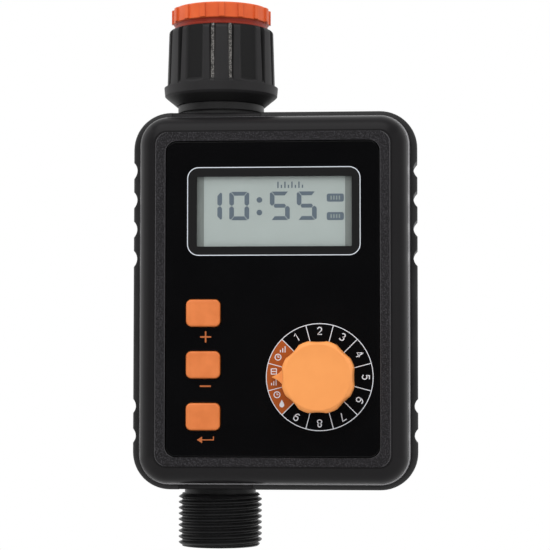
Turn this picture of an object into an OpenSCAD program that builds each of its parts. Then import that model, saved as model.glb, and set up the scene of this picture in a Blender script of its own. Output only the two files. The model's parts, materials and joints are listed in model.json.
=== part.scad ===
// Battery tap timer: a motorised ball valve in a two-part housing that hangs from a tap.
// The origin is on the water axis at the mouth of the tap adapter. Z is up and the front faces -Y.
// In the face frame, u is to the right, v is up and w runs from the water axis towards the viewer.

/* [Housing] */
// Width over the grip band
body_w = 89.1; // [87.2:0.1:94.2]
// Height over the grip band
body_h = 118.25; // [117:0.05:125]
// Corner radius of the grip band
corner_r = 11.7; // [11:0.1:13]
// Sideways distance from the water axis to the middle of the housing
body_offset = 18.35; // [17.55:0.05:19.35]
// Drop from the mouth of the tap adapter to the top of the housing
joint_h = 35; // [34.6:0.05:35.5]
// Parting plane of the shells, in front of the water axis
parting_w = 14.7; // [14.2:0.1:15.7]
// Depth of the grip band
band_depth = 14; // [10:0.5:16]
// Edge radius of the grip band
band_edge_r = 1.6; // [0.8:0.1:2]
// Step from the grip band in to the rear tub
tub_step = 2; // [1.55:0.05:2.15]
// Rear face, behind the water axis
rear_w = 23; // [22.8:0.1:26]
// Edge radius of the rear tub
tub_edge_r = 2.6; // [1.6:0.1:3.2]
// Thickness of the side walls of the tub
side_wall = 3.2; // [2.8:0.1:3.4]
// Thickness of the rear wall
rear_wall = 2.2; // [1.8:0.1:2.6]

/* [Front shell] */
// Step from the grip band in to the front shell at the sides
front_step = 2; // [1.6:0.05:2.4]
// Step from the grip band in to the front shell at the top and foot
front_step_v = 1.35; // [1.1:0.05:1.6]
// Rim plane of the front shell, in front of the water axis
rim_w = 25.3; // [25:0.1:27]
// Radius of the rounded shoulder
shoulder_r = 6.6; // [5.6:0.1:7.1]
// Inward lean of the front shell's side wall
side_draft = 0.9; // [0.4:0.1:1.2]
// Slope of the shoulder where it meets the rim plane
crest_angle = 15; // [10:1:20]
// Width of the shoulder beside the textured border
shoulder_w = 6.45; // [6.2:0.05:6.85]
// Width of the shoulder above and below the textured border
shoulder_h = 6.35; // [6.15:0.05:6.75]
// Corner radius of the textured border
border_r = 3.8; // [3.6:0.1:4.2]
// Height of the textured border above the rim plane
border_raise = 0.4; // [0.2:0.05:0.6]
// Thickness of the front floor behind the panel
floor_t = 2; // [1.8:0.1:2.2]

/* [Panel] */
// Width of the front panel
panel_w = 65.5; // [65:0.1:67]
// Height of the front panel
panel_h = 96.7; // [95.7:0.1:97.7]
// Corner radius of the front panel
panel_r = 3.1; // [2.6:0.1:3.4]
// Thickness of the front panel
panel_t = 1.2; // [1:0.1:1.4]
// Depth of the panel's face under the textured border
panel_sink = 0.3; // [0.1:0.05:0.5]
// Gap around the front panel
panel_gap = 0.3; // [0.2:0.05:0.5]
// Width of the display window
window_w = 48; // [46:0.1:49]
// Height of the display window
window_h = 21.7; // [21:0.1:22.5]
// Place of the display across the face
window_u = 0.7; // [0:0.1:1]
// Place of the display up the face
window_v = 26.7; // [26:0.1:27.5]
// Width of the border of the display cell beyond the window
cell_lip = 2; // [1.6:0.1:2.2]
// Thickness of the display cell
cell_t = 2.4; // [2:0.1:2.6]

/* [Keys] */
// Width of a key
key_w = 10.5; // [10:0.1:11.3]
// Height of a key
key_h = 8.3; // [7.8:0.1:9]
// Corner radius of a key
key_r = 1.7; // [1.2:0.1:2]
// Height of a key above the panel
key_raise = 1.1; // [0.9:0.1:1.6]
// Edge radius of a key's face
key_edge_r = 0.6; // [0.3:0.1:0.7]
// Place of the keys across the face
key_u = -21.2; // [-21.6:0.1:-20.6]
// Place of the upper key up the face
key_v = -4.5; // [-5:0.1:-4]
// Distance from key to key
key_pitch = 15.85; // [15.4:0.05:16.4]
// Gap around a key
key_gap = 0.25; // [0.2:0.05:0.4]

/* [Dial] */
// Radius of the dial knob over its lobes
knob_r = 11.15; // [10.6:0.05:11.8]
// Height of the dial knob
knob_h = 10; // [9:0.1:11]
// Number of scallops on the dial knob
scallop_n = 8; // [6:1:10]
// Radius of a scallop
scallop_r = 26; // [20:1:30]
// Depth of a scallop
scallop_d = 0.6; // [0.4:0.05:0.8]
// Reach of the dial's pointer from its axis
pointer_reach = 14.2; // [13.6:0.1:15]
// Height of the dial's pointer
pointer_h = 3.2; // [2.4:0.1:4]
// Radius of the dial shaft
dial_shaft_r = 3; // [2.8:0.05:3.1]
// Place of the dial across the face
dial_u = 14.3; // [13.6:0.1:15]
// Place of the dial up the face
dial_v = -24.1; // [-24.8:0.1:-23.4]

/* [Tap joint] */
// Outer radius of the tap adapter over its ribs
adapter_r = 15.95; // [15.75:0.05:16.35]
// Height of the tap adapter's head
adapter_head_h = 4.85; // [4.65:0.05:5.25]
// Height of the plain step under the tap adapter's head
adapter_step_h = 1.95; // [1.75:0.05:2.15]
// Number of ribs on the tap adapter
rib_n = 16; // [12:1:20]
// Radius of the tap thread
tap_thread_r = 10.48; // [10.2:0.01:10.6]
// Depth of the tap thread
tap_thread_l = 11; // [10:0.1:11.4]
// Radius of the adapter's outer thread
plug_r = 13; // [12.8:0.05:13.2]
// Length of the adapter's outer thread
plug_l = 14; // [13.6:0.1:14.2]
// Thickness of the washer under the tap
tap_washer_t = 2; // [1.8:0.1:2.2]
// Radius of the water way through the adapter
adapter_way_r = 6.5; // [6:0.1:7]

/* [Swivel nut] */
// Outer radius at the top of the nut
nut_top_r = 17; // [16.85:0.05:17.25]
// Outer radius at the foot of the nut's flutes
nut_low_r = 17.5; // [17.4:0.05:17.8]
// Radius of the nut's flange
nut_flange_r = 18.3; // [18.05:0.05:18.65]
// Height of the nut's flange
nut_flange_h = 3.1; // [2.8:0.1:3.3]
// Radius of the foot of the nut's cone
nut_cone_r = 14.3; // [13.9:0.1:14.7]
// Height of the nut's cone
nut_cone_h = 2.75; // [2.55:0.05:2.95]
// Height of the fluted part of the nut
nut_flute_h = 18.65; // [18.25:0.05:18.85]
// Number of rib groups around the nut
rib_group_n = 6; // [5:1:6]
// Depth of the nut's narrow grooves at their open end
groove_d = 1.5; // [1.15:0.05:1.65]
// Depth of the nut's wide recesses
recess_d = 0.9; // [0.6:0.05:1.1]

/* [Valve] */
// Radius of the neck collar
neck_r = 13.8; // [13.65:0.05:14.05]
// Radius of the inlet tube inside the nut
inlet_r = 10.3; // [10.1:0.05:10.4]
// Radius of the valve's water way
way_r = 6.5; // [6.2:0.1:6.6]
// Radius of the valve ball
ball_r = 10; // [9.8:0.05:10.1]
// Radius of the bore through the valve ball
ball_bore_r = 6; // [5.6:0.1:6.1]
// Clearance between the gear plates and the battery bay under them
bay_clear = 0.7; // [0.4:0.1:1.2]
// Radius of the valve stem
stem_r = 3.2; // [3:0.05:3.3]
// Radius of the outlet thread
outlet_r = 13.22; // [13:0.02:13.4]
// Length of the outlet thread
outlet_l = 16.6; // [14.7:0.1:17.7]
// Radius of the plain part above the outlet thread
outlet_neck_r = 11.3; // [11:0.05:11.5]
// Length of the plain part between the housing and the outlet thread
outlet_neck_l = 1.75; // [1.4:0.05:2.2]

/* [Gear train] */
// Module of the stem gear pair
stem_module = 0.8; // [0.79:0.005:0.81]
// Teeth of the output gear on the stem
output_n = 26; // [25:1:26]
// Teeth of the small idler gear
idler_small_n = 12; // [12:1:13]
// Module of the motor gear pair
motor_module = 0.6; // [0.59:0.005:0.61]
// Teeth of the large idler gear
idler_large_n = 30; // [29:1:30]
// Teeth of the motor pinion
pinion_n = 10; // [10:1:11]
// Direction from the stem to the idler
idler_angle = 56; // [55:0.5:58]
// Direction from the idler to the motor
motor_angle = 185; // [182:0.5:188]
// Radius of the motor
motor_r = 7.75; // [7.4:0.05:8]
// Length of the motor
motor_l = 17; // [14:0.5:17.5]

/* [Batteries] */
// Radius of a battery cell
battery_r = 7.25; // [7:0.05:7.3]
// Length of a battery cell
battery_l = 50.5; // [49.5:0.1:50.6]
// Distance from cell to cell
battery_pitch = 15; // [14.8:0.1:15.2]
// Place of the middle of the cells across the face
battery_u = 13.1; // [12.8:0.1:13.4]
// Room under the foot of the cells
battery_foot = 7.1; // [6.8:0.1:7.4]
// Depth of the cells behind the water axis
battery_w = 10; // [9.8:0.1:10.1]

/* [Hidden] */
$fn = 64;

// Colours
black_plastic = [0.1, 0.1, 0.105];
gloss_black = [0.03, 0.03, 0.035];
key_orange = [0.9, 0.48, 0.24];
dial_orange = [1, 0.62, 0.34];
adapter_orange = [0.88, 0.34, 0.18];
rubber_black = [0.14, 0.14, 0.14];
steel = [0.72, 0.72, 0.74];
natural_plastic = [0.9, 0.89, 0.85];
board_green = [0.1, 0.35, 0.2];

// Clearances
running_gap = 0.05;
seat_gap = 0.15;
slip_gap = 0.3;
cut_over = 1;

// Housing
body_z = -(joint_h + body_h / 2);
axis_u = body_w / 2 - corner_r;
axis_v = body_h / 2 - corner_r;
tub_w = body_w - 2 * tub_step;
tub_h = body_h - 2 * tub_step;
tub_r = corner_r - tub_step;
cavity_w = tub_w - 2 * side_wall;
cavity_h = tub_h - 2 * side_wall;
cavity_r = tub_r - side_wall;
band_rear_w = parting_w - band_depth;
cavity_rear_w = rear_wall - rear_w;
body_top_z = -joint_h;
body_foot_z = -joint_h - body_h;
cavity_top_z = body_z + cavity_h / 2;
cavity_foot_z = body_z - cavity_h / 2;

// Front shell
front_w = body_w - 2 * front_step;
front_h = body_h - 2 * front_step_v;
front_r = corner_r - front_step;
front_axis_v = axis_v + front_step - front_step_v;
shoulder_u = front_r - side_draft - shoulder_r;
shoulder_c = rim_w - shoulder_r * cos(crest_angle);
border_w = front_w - 2 * shoulder_w;
border_h = front_h - 2 * shoulder_h;
border_top = rim_w + border_raise;
panel_top = border_top - panel_sink;
panel_seat = panel_top - panel_t;
floor_under = panel_seat - floor_t;

// Housing screws and seals
screw_inset_u = 3;
screw_inset_v = 5.1;
screw_u = cavity_w / 2 - screw_inset_u;
screw_v = cavity_h / 2 - screw_inset_v;
post_r = 3.6;
pillar_r = 4.2;
screw_shank_r = 1.5;
screw_head_r = 2.8;
screw_head_h = 2.2;
screw_l = 20;
screw_tip_gap = 1.2;
screw_seat_w = floor_under - screw_tip_gap - screw_l;
screw_clear = 0.2;
head_clear = 0.4;
gasket_width = 1.4;
gasket_t = 1;
gasket_inset = 0.9;
gasket_w = cavity_w + 2 * gasket_inset;
gasket_h = cavity_h + 2 * gasket_inset;
gasket_r = cavity_r + gasket_inset;
hole_gap = 0.15;
neck_hole_r = neck_r + hole_gap;
outlet_hole_r = outlet_neck_r + hole_gap;
saddle_share = 0.33;
saddle_ledge = 0.85;
tongue_gap = 0.1;

// Grip notches
notch_pitch = 9.25;
notch_n = 4;
notch_drop = 18.4;
notch_v = body_h / 2 - notch_drop;
notch_r = 3.3;
notch_out = 2.05;
low_notch_n = 2;
low_notch_rise = 26;
low_notch_v = low_notch_rise - body_h / 2;
low_notch_r = 2.9;
low_notch_out = 1.85;

// Display, board and keys
cell_gap = 0.1;
cell_w = window_w + 2 * cell_lip;
cell_h = window_h + 2 * cell_lip;
cell_top = panel_seat - cell_gap;
cell_foot = cell_top - cell_t;
holder_h = 3;
board_top = cell_foot - holder_h;
board_t = 1.6;
board_foot = board_top - board_t;
board_gap = 0.8;
board_w = 2 * (screw_u - post_r - board_gap);
board_h = 2 * (screw_v - post_r);
board_boss_r = 2.3;
board_screw_r = 0.95;
board_screw_head_r = 1.9;
board_screw_head_h = 1.2;
board_screw_inset = 2.4;
board_screw_u = board_w / 2 - board_screw_inset;
board_screw_v = board_h / 2 - board_screw_inset;
board_screw_l = 4.2;
holder_wall = 1.6;
key_top = panel_top + key_raise;
key_flange_t = 0.9;
key_flange_lip = 1.2;
key_flange_top = floor_under - slip_gap;
key_foot = key_flange_top - key_flange_t;
dome_gap = 0.1;
dome_r = 4;
dome_rim_t = 0.6;
dome_head_r = 2;
dome_wall = 0.5;

// Dial
knob_foot = panel_top + slip_gap;
knob_top = knob_foot + knob_h;
knob_draft = 0.75;
knob_edge_r = 1.2;
knob_wall = 2;
knob_boss_r = 4.6;
pointer_half = 2.2;
pointer_flare_r = 4;
pointer_root = 9.6;
knob_cap = 2.4;
dial_shaft_top = knob_top - knob_cap;
switch_w = 15;
switch_t = 5.4;
switch_gap = 0.1;
switch_top = board_foot - switch_gap;
bush_r = 4.4;
bush_gap = 0.2;
bush_top = floor_under - bush_gap;
dial_ring_r = 0.8;
dial_ring_gap = 0.05;

// Batteries
nub_r = 2.75;
nub_l = 1.3;
bay_gap = 0.4;
bay_wall = 1.5;
battery_v = battery_foot - cavity_h / 2;
contact_t = 0.5;
contact_room = 2.4;
contact_w = 9;
bump_r = 3.2;
bump_tip_r = 2.2;
bump_gap = 0.1;
bay_u0 = battery_u - battery_pitch / 2 - battery_r - bay_gap;
bay_u1 = battery_u + battery_pitch / 2 + battery_r + bay_gap;
bay_v0 = battery_v - contact_room;
bay_v1 = battery_v + battery_l + contact_room;
bay_top_z = body_z + bay_v1 + bay_wall;
bay_front = battery_r + bay_gap - battery_w;
cover_lip_side = 3.25;
cover_lip_top = 6.6;
cover_lip_foot = 3.5;
cover_t = 1.9;
cover_gap = 0.2;
cover_recess = cover_t + slip_gap;
cover_r = 4;
cover_floor_w = cover_recess - rear_w;
pad_t = 2.8;
pad_lip = 1.5;
cover_u0 = bay_u0 - cover_lip_side;
cover_u1 = bay_u1 + cover_lip_side;
cover_v0 = bay_v0 - cover_lip_foot;
cover_v1 = bay_v1 + cover_lip_top;
cover_screw_lift = 3.6;
cover_screw_share = 0.66;
cover_screw_v = bay_v1 + cover_screw_lift;
cover_screw_r = 1.1;
cover_screw_head_r = 2.2;
cover_screw_head_h = 1;
cover_screw_l = 5;
cover_boss_r = 2.6;
cover_boss_l = 4.2;
cover_rib_l = 2.4;
cover_rib_t = 1.4;
cover_seal_w = 1.4;
cover_seal_sink = 0.5;
thumb_r = 7;
thumb_d = 1;
thumb_lift = 10.5;

// Tap adapter and nut
adapter_foot_z = -(adapter_head_h + adapter_step_h);
plug_foot_z = adapter_foot_z - plug_l;
grip_turn = 6;
rib_raise = 0.55;
adapter_body_r = adapter_r - rib_raise;
adapter_step_in = 0.95;
adapter_step_r = adapter_r - adapter_step_in;
adapter_neck_in = 0.5;
adapter_neck_r = adapter_step_r - adapter_neck_in;
adapter_lip_h = 0.8;
adapter_lip_z = adapter_foot_z + adapter_lip_h;
adapter_edge = 0.4;
rib_angle = 6.4;
rib_edge = 0.2;
rib_top = 0.25;
rib_lift = 0.1;
rib_root_r = adapter_body_r - rib_edge;
washer_ledge = 0.3;
washer_seat_r = tap_thread_r - washer_ledge;
tap_washer_gap = 0.1;
tap_washer_r = washer_seat_r - tap_washer_gap;
nut_top_z = adapter_foot_z - running_gap;
nut_flange_z = nut_top_z - nut_flute_h;
nut_cone_z = nut_flange_z - nut_flange_h;
nut_foot_z = nut_cone_z - nut_cone_h;
nut_bore_r = plug_r + running_gap;
nut_shoulder_h = 3;
nut_shoulder_z = nut_foot_z + nut_shoulder_h;
nut_hole_r = inlet_r + running_gap;
nut_edge_r = 1.7;
flange_lean = 0.25;
flange_edge = 0.4;
groove_offset = 9.9;
groove_floor = 1;
groove_foot_d = 0.6;
groove_flare = 0.45;
recess_floor = 4.7;
recess_foot_d = 0.8;
recess_flare = 1.85;
flute_rise = 1.5;
flute_lift = 0.1;
inlet_washer_t = 2.4;
inlet_washer_r = 12.4;
inlet_top_z = plug_foot_z - inlet_washer_t - seat_gap;
ring_t = 1.2;
ring_r = 12.3;
ring_groove = 1;
ring_mouth = 2;
filter_rim_t = 0.8;
filter_rim_r = 8.4;
filter_r = 5.8;
filter_l = 9;
filter_wall = 0.8;
filter_slot_n = 6;
filter_slot_w = 2.6;
filter_slot_l = 5;

// Valve
output_pitch_r = stem_module * output_n / 2;
plate_foot_lip = 1.6;
plate_foot_z = bay_top_z + bay_clear;
ball_z = plate_foot_z + plate_foot_lip + output_pitch_r;
collar_top_z = nut_foot_z - running_gap;
collar_flange_lip = 0.75;
collar_flange_r = neck_r + collar_flange_lip;
collar_flange_h = 2.5;
collar_flange_z = cavity_top_z - slip_gap;
collar_flat = screw_u - body_offset - pillar_r - slip_gap;
neck_groove_d = 0.8;
neck_groove_h = 0.6;
neck_groove_lift = 0.6;
neck_groove_z = body_top_z + neck_groove_lift;
pipe_r = 10.8;
chamber_wall = 3;
chamber_gap = 0.6;
chamber_r = ball_r + chamber_gap;
chamber_or = chamber_r + chamber_wall;
seat_reach = 10.5;
seat_t = 4.9;
seat_r = 9.5;
seat_bore_r = 6.3;
chamber_top_z = ball_z + seat_reach;
spigot_plug_l = 3.5;
chamber_foot_z = ball_z - seat_reach - spigot_plug_l;
chamber_crown = 3.5;
spigot_plug_r = chamber_r - running_gap;
spigot_flange_h = 3;
seal_side = 1.2;
neck_seal_z = cavity_top_z + side_wall / 2;
outlet_seal_z = cavity_foot_z - side_wall / 2;
gland_r = 7.5;
gland_x = 16;
gland_bore_r = 4.6;
gland_floor_t = 1.6;
gland_floor_x = chamber_r + gland_floor_t;
stem_gap = 0.08;
stem_lead = 0.2;
tongue_w = 2.6;
tongue_l = 6;
tongue_depth = 2.4;
outlet_flange_lip = 1.9;
outlet_flange_r = outlet_neck_r + outlet_flange_lip;
outlet_flange_h = 2.5;
outlet_top_z = body_foot_z - outlet_neck_l;
outlet_foot_z = outlet_top_z - outlet_l;
outlet_bore_r = 7;
outlet_edge = 1;

// Gear train
pressure_angle = 25;
addendum = 0.85;
dedendum = 1.1;
backlash = 0.07;
mesh_gap = 0.05;
flank_steps = 3;
plate_t = 1.4;
plate_inner_x = gland_x;
plate_gap = 11.1;
plate_outer_x = plate_inner_x + plate_t + plate_gap;
gear_air = 1.1;
output_t = 4;
output_x = plate_inner_x + plate_t + gear_air;
idler_step = 1;
idler_large_t = 3;
idler_large_x = output_x + output_t + idler_step;
idler_small_pitch_r = stem_module * idler_small_n / 2;
idler_large_pitch_r = motor_module * idler_large_n / 2;
pinion_pitch_r = motor_module * pinion_n / 2;
idler_reach = output_pitch_r + idler_small_pitch_r + mesh_gap;
motor_reach = idler_large_pitch_r + pinion_pitch_r + mesh_gap;
idler_y = idler_reach * cos(idler_angle);
idler_z = ball_z + idler_reach * sin(idler_angle);
motor_y = idler_y + motor_reach * cos(motor_angle);
motor_z = idler_z + motor_reach * sin(motor_angle);
pin_r = 1.5;
pin_gap = 0.02;
idler_hub_t = 1.2;
output_hub_t = 2;
pinion_t = 3.4;
pinion_lap = 0.2;
pinion_x = idler_large_x - pinion_lap;
motor_shaft_r = 1;
motor_shaft_l = 6;
motor_boss_r = 3;
motor_screw_reach = 5;
motor_screw_r = 0.9;
motor_screw_head_r = 1.6;
motor_screw_head_h = 1;
plate_front_gap = 2.5;
plate_front_y = plate_front_gap - board_foot;
plate_rear_gap = 0.6;
plate_rear_y = rear_w - cover_recess - cover_boss_l - plate_rear_gap;
plate_top_lip = 6;
plate_top_z = idler_z + plate_top_lip;
plate_r = 3;
pillar_post_r = 1.9;
pillar_inset = 2.4;
stem_proud = 0.6;
stem_end_x = output_x + output_t + stem_proud;

// Moves from the face frame to the part's frame
module face() {
    translate([body_offset, 0, body_z]) rotate([90, 0, 0]) children();
}

// Turns a shape that runs along z so that it runs along x, with its own x along y
module along_x(x, y, z) {
    translate([x, y, z]) rotate([90, 0, 90]) children();
}

function corner_sign_u(q) = q == 0 || q == 3 ? 1 : -1;
function corner_sign_v(q) = q < 2 ? 1 : -1;

module quarter_disc(r) {
    intersection() {
        circle(r);
        square(r);
    }
}

module rounded_rect(w, h, r) {
    square([w - 2 * r, h], center = true);
    square([w, h - 2 * r], center = true);
    for (q = [0:3])
        translate([corner_sign_u(q) * (w / 2 - r), corner_sign_v(q) * (h / 2 - r)])
            rotate(90 * q) quarter_disc(r);
}

// Rounded rectangle between two levels
module plate(w, h, r, low, high) {
    translate([0, 0, low]) linear_extrude(high - low) rounded_rect(w, h, r);
}

// Rounded rectangle given by its edges
module edge_plate(u0, u1, v0, v1, r, low, high) {
    translate([(u0 + u1) / 2, (v0 + v1) / 2, 0]) plate(u1 - u0, v1 - v0, r, low, high);
}

// Cylinder between two levels
module rod(r, low, high) {
    translate([0, 0, low]) cylinder(r = r, h = high - low);
}

module ring(outer, inner, low, high) {
    difference() {
        rod(outer, low, high);
        rod(inner, low - cut_over, high + cut_over);
    }
}

// Section across a swept slab, from edge to edge
module slab_section(half, low, high) {
    translate([-half, low]) square([2 * half, high - low]);
    translate([half, 0]) children();
    mirror([1, 0]) translate([half, 0]) children();
}

// Sweeps an edge section around a rounded rectangle; the section starts at the corner's axis
module swept_slab(half_u, half_v, low, high) {
    for (q = [0:3])
        translate([corner_sign_u(q) * half_u, corner_sign_v(q) * half_v, 0])
            rotate(90 * q) rotate_extrude(angle = 90) children();
    rotate([90, 0, 90]) translate([0, 0, -half_u]) linear_extrude(2 * half_u)
        slab_section(half_v, low, high) children();
    rotate([90, 0, 0]) translate([0, 0, -half_v]) linear_extrude(2 * half_v)
        slab_section(half_u, low, high) children();
}

// Edge section with a rounded upper or lower outer corner
module edge_section(r, low, high, upper_r, lower_r) {
    translate([0, low + lower_r]) square([r, high - low - upper_r - lower_r]);
    if (upper_r > 0) {
        translate([0, high - upper_r]) square([r - upper_r, upper_r]);
        translate([r - upper_r, high - upper_r]) quarter_disc(upper_r);
    }
    if (lower_r > 0) {
        translate([0, low]) square([r - lower_r, lower_r]);
        translate([r - lower_r, low + lower_r]) rotate(-90) quarter_disc(lower_r);
    }
}

// Four copies at the corners of a rectangle
module corners(u, v) {
    for (q = [0:3]) translate([corner_sign_u(q) * u, corner_sign_v(q) * v, 0]) children();
}

// Water axis in the face frame
module on_water_axis() {
    translate([-body_offset, 0, 0]) rotate([-90, 0, 0]) children();
}

// Housing
module shoulder_section() {
    polygon([[0, parting_w], [front_r, parting_w], [front_r - side_draft, shoulder_c], [0, shoulder_c]]);
    translate([0, shoulder_c]) square([shoulder_u + shoulder_r * sin(crest_angle), rim_w - shoulder_c]);
    intersection() {
        translate([shoulder_u, shoulder_c]) circle(shoulder_r);
        translate([shoulder_u, shoulder_c]) square([shoulder_r, rim_w - shoulder_c]);
    }
}

// Block that closes the rear shell's slot in front of a pipe
module saddle_block(r, low, high, gap, over) {
    half = sqrt(r * r - pow(saddle_share * r, 2)) + saddle_ledge - gap;
    rear = saddle_share * r + gap;
    translate([-body_offset - half, low, rear]) cube([2 * half, high - low, parting_w + over - rear]);
}

module band_form() {
    swept_slab(axis_u, axis_v, band_rear_w, parting_w)
        edge_section(corner_r, band_rear_w, parting_w, band_edge_r, band_edge_r);
}

module saddles(gap, over) {
    saddle_block(neck_hole_r, cavity_h / 2 - over, body_h / 2 - gap + over, gap, over);
    saddle_block(outlet_hole_r, -body_h / 2 + gap - over, -cavity_h / 2 + over, gap, over);
}

module pipe_holes() {
    on_water_axis() rod(neck_hole_r, 0, body_h);
    on_water_axis() rod(outlet_hole_r, -body_h, 0);
}

module key_places() {
    for (i = [0:2]) translate([key_u, key_v - i * key_pitch, 0]) children();
}

module front_shell() {
    color(black_plastic) face() difference() {
        union() {
            difference() {
                union() {
                    swept_slab(axis_u, front_axis_v, parting_w, rim_w) shoulder_section();
                    plate(border_w, border_h, border_r, panel_seat, border_top);
                }
                plate(cavity_w, cavity_h, cavity_r, parting_w - cut_over, floor_under);
            }
            corners(screw_u, screw_v) rod(post_r, parting_w, floor_under + floor_t / 2);
            corners(board_screw_u, board_screw_v) rod(board_boss_r, board_top, floor_under + floor_t / 2);
            intersection() {
                saddles(tongue_gap, 0);
                band_form();
            }
        }
        plate(panel_w + 2 * panel_gap, panel_h + 2 * panel_gap, panel_r + panel_gap, panel_seat,
            border_top + cut_over);
        translate([window_u, window_v, 0]) plate(cell_w + 2 * cell_gap, cell_h + 2 * cell_gap, cell_gap,
            floor_under - cut_over, panel_seat + cut_over);
        key_places() plate(key_w + 2 * key_gap, key_h + 2 * key_gap, key_r + key_gap, floor_under - cut_over,
            panel_seat + cut_over);
        translate([dial_u, dial_v, 0]) rod(dial_shaft_r + 2 * dial_ring_r + 2 * dial_ring_gap,
            floor_under - cut_over, panel_seat + cut_over);
        corners(screw_u, screw_v) rod(screw_shank_r + running_gap, parting_w - cut_over,
            screw_seat_w + screw_l + cut_over);
        corners(board_screw_u, board_screw_v) rod(board_screw_r + running_gap, board_top - cut_over,
            floor_under);
        pipe_holes();
    }
}

module gasket_ring(gap, low, high) {
    difference() {
        plate(gasket_w + gasket_width + 2 * gap, gasket_h + gasket_width + 2 * gap,
            gasket_r + gasket_width / 2 + gap, low, high);
        plate(gasket_w - gasket_width - 2 * gap, gasket_h - gasket_width - 2 * gap,
            gasket_r - gasket_width / 2 - gap, low - cut_over, high + cut_over);
        saddles(-slip_gap, cut_over);
    }
}

module notch_row(v, n, r, out) {
    for (s = [-1, 1], i = [0:n - 1])
        translate([s * (body_w / 2 + out), v - i * notch_pitch, 0])
            rod(r, band_rear_w - cut_over, parting_w + cut_over);
}

module grip_notches() {
    notch_row(notch_v, notch_n, notch_r, notch_out);
    notch_row(low_notch_v, low_notch_n, low_notch_r, low_notch_out);
}

module cover_screw_places() {
    for (s = [-1, 1])
        translate([battery_u + s * battery_pitch * cover_screw_share, cover_screw_v, 0]) children();
}

module rear_shell() {
    color(black_plastic) face() difference() {
        union() {
            difference() {
                union() {
                    difference() {
                        band_form();
                        grip_notches();
                    }
                    swept_slab(axis_u, axis_v, -rear_w, parting_w - band_edge_r)
                        edge_section(tub_r, -rear_w, parting_w - band_edge_r, 0, tub_edge_r);
                }
                plate(cavity_w, cavity_h, cavity_r, cavity_rear_w, parting_w + cut_over);
            }
            corners(screw_u, screw_v) rod(pillar_r, cavity_rear_w - rear_wall / 2, parting_w);
            edge_plate(bay_u0 - bay_wall, bay_u1 + bay_wall, -cavity_h / 2 - side_wall / 2, bay_v1 + bay_wall,
                bay_wall, cavity_rear_w - rear_wall / 2, bay_front + bay_wall);
            edge_plate(cover_u0 - pad_lip, cover_u1 + pad_lip, -cavity_h / 2 - side_wall / 2,
                cover_v1 + pad_lip, pad_lip, cavity_rear_w - rear_wall / 2, cover_floor_w + pad_t);
            cover_screw_places() rod(cover_boss_r, cavity_rear_w, cover_floor_w + cover_boss_l);
        }
        edge_plate(bay_u0, bay_u1, bay_v0, bay_v1, cover_gap, -rear_w - cut_over, bay_front);
        edge_plate(cover_u0, cover_u1, cover_v0, cover_v1, cover_r, -rear_w - cut_over, cover_floor_w);
        cover_screw_places() rod(cover_screw_r + screw_clear / 2, cover_floor_w - cut_over,
            cover_floor_w + cover_boss_l + cut_over);
        corners(screw_u, screw_v) rod(screw_shank_r + screw_clear, -rear_w, parting_w + cut_over);
        corners(screw_u, screw_v) rod(screw_head_r + head_clear, -rear_w - cut_over, screw_seat_w);
        gasket_ring(running_gap, parting_w - gasket_t, parting_w + cut_over);
        saddles(0, cut_over);
        pipe_holes();
    }
}

module shell_gasket() {
    color(rubber_black) face() gasket_ring(0, parting_w - gasket_t, parting_w);
}

// Pan-head screw that runs from its seat along +w
module pan_screw(shank_r, length, head_r, head_h) {
    rod(shank_r, 0, length);
    rod(head_r, -head_h, 0);
}

module shell_screws() {
    color(steel) face() corners(screw_u, screw_v) translate([0, 0, screw_seat_w])
        pan_screw(screw_shank_r, screw_l, screw_head_r, screw_head_h);
}

// Panel and display
module front_panel() {
    color(gloss_black) face() difference() {
        plate(panel_w, panel_h, panel_r, panel_seat, panel_top);
        translate([window_u, window_v, 0]) plate(window_w, window_h, cell_gap, panel_seat - cut_over,
            panel_top + cut_over);
        key_places() plate(key_w + 2 * key_gap, key_h + 2 * key_gap, key_r + key_gap, panel_seat - cut_over,
            panel_top + cut_over);
        translate([dial_u, dial_v, 0]) rod(dial_shaft_r + slip_gap, panel_seat - cut_over,
            panel_top + cut_over);
    }
}

module display_window() {
    pane_gap = running_gap;
    color([0.8, 0.85, 0.85, 0.4]) face() translate([window_u, window_v, 0])
        plate(window_w - 2 * pane_gap, window_h - 2 * pane_gap, cell_gap, panel_seat, panel_top);
}

module display_module() {
    color([0.67, 0.71, 0.67]) face() translate([window_u, window_v, 0])
        plate(cell_w, cell_h, cell_gap, cell_foot, cell_top);
}

module display_holder() {
    color(natural_plastic) face() translate([window_u, window_v, 0]) difference() {
        plate(cell_w, cell_h, holder_wall, board_top, cell_foot);
        plate(cell_w - 2 * holder_wall, cell_h - 2 * holder_wall, holder_wall / 2, board_top - cut_over,
            cell_foot + cut_over);
    }
}

module main_board() {
    color(board_green) face() difference() {
        plate(board_w, board_h, holder_wall, board_foot, board_top);
        corners(board_screw_u, board_screw_v) rod(board_screw_r + running_gap, board_foot - cut_over,
            board_top + cut_over);
        translate([dial_u, dial_v, 0]) rod(bush_r + bush_gap, board_foot - cut_over, board_top + cut_over);
    }
}

module board_screws() {
    color(steel) face() corners(board_screw_u, board_screw_v) translate([0, 0, board_foot])
        pan_screw(board_screw_r, board_screw_l, board_screw_head_r, board_screw_head_h);
}

// Keys
module key(i) {
    color(key_orange) face() translate([key_u, key_v - i * key_pitch, 0]) {
        swept_slab(key_w / 2 - key_r, key_h / 2 - key_r, key_foot, key_top)
            edge_section(key_r, key_foot, key_top, key_edge_r, 0);
        plate(key_w + 2 * key_flange_lip, key_h + 2 * key_flange_lip, key_r, key_foot, key_flange_top);
    }
}

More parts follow.
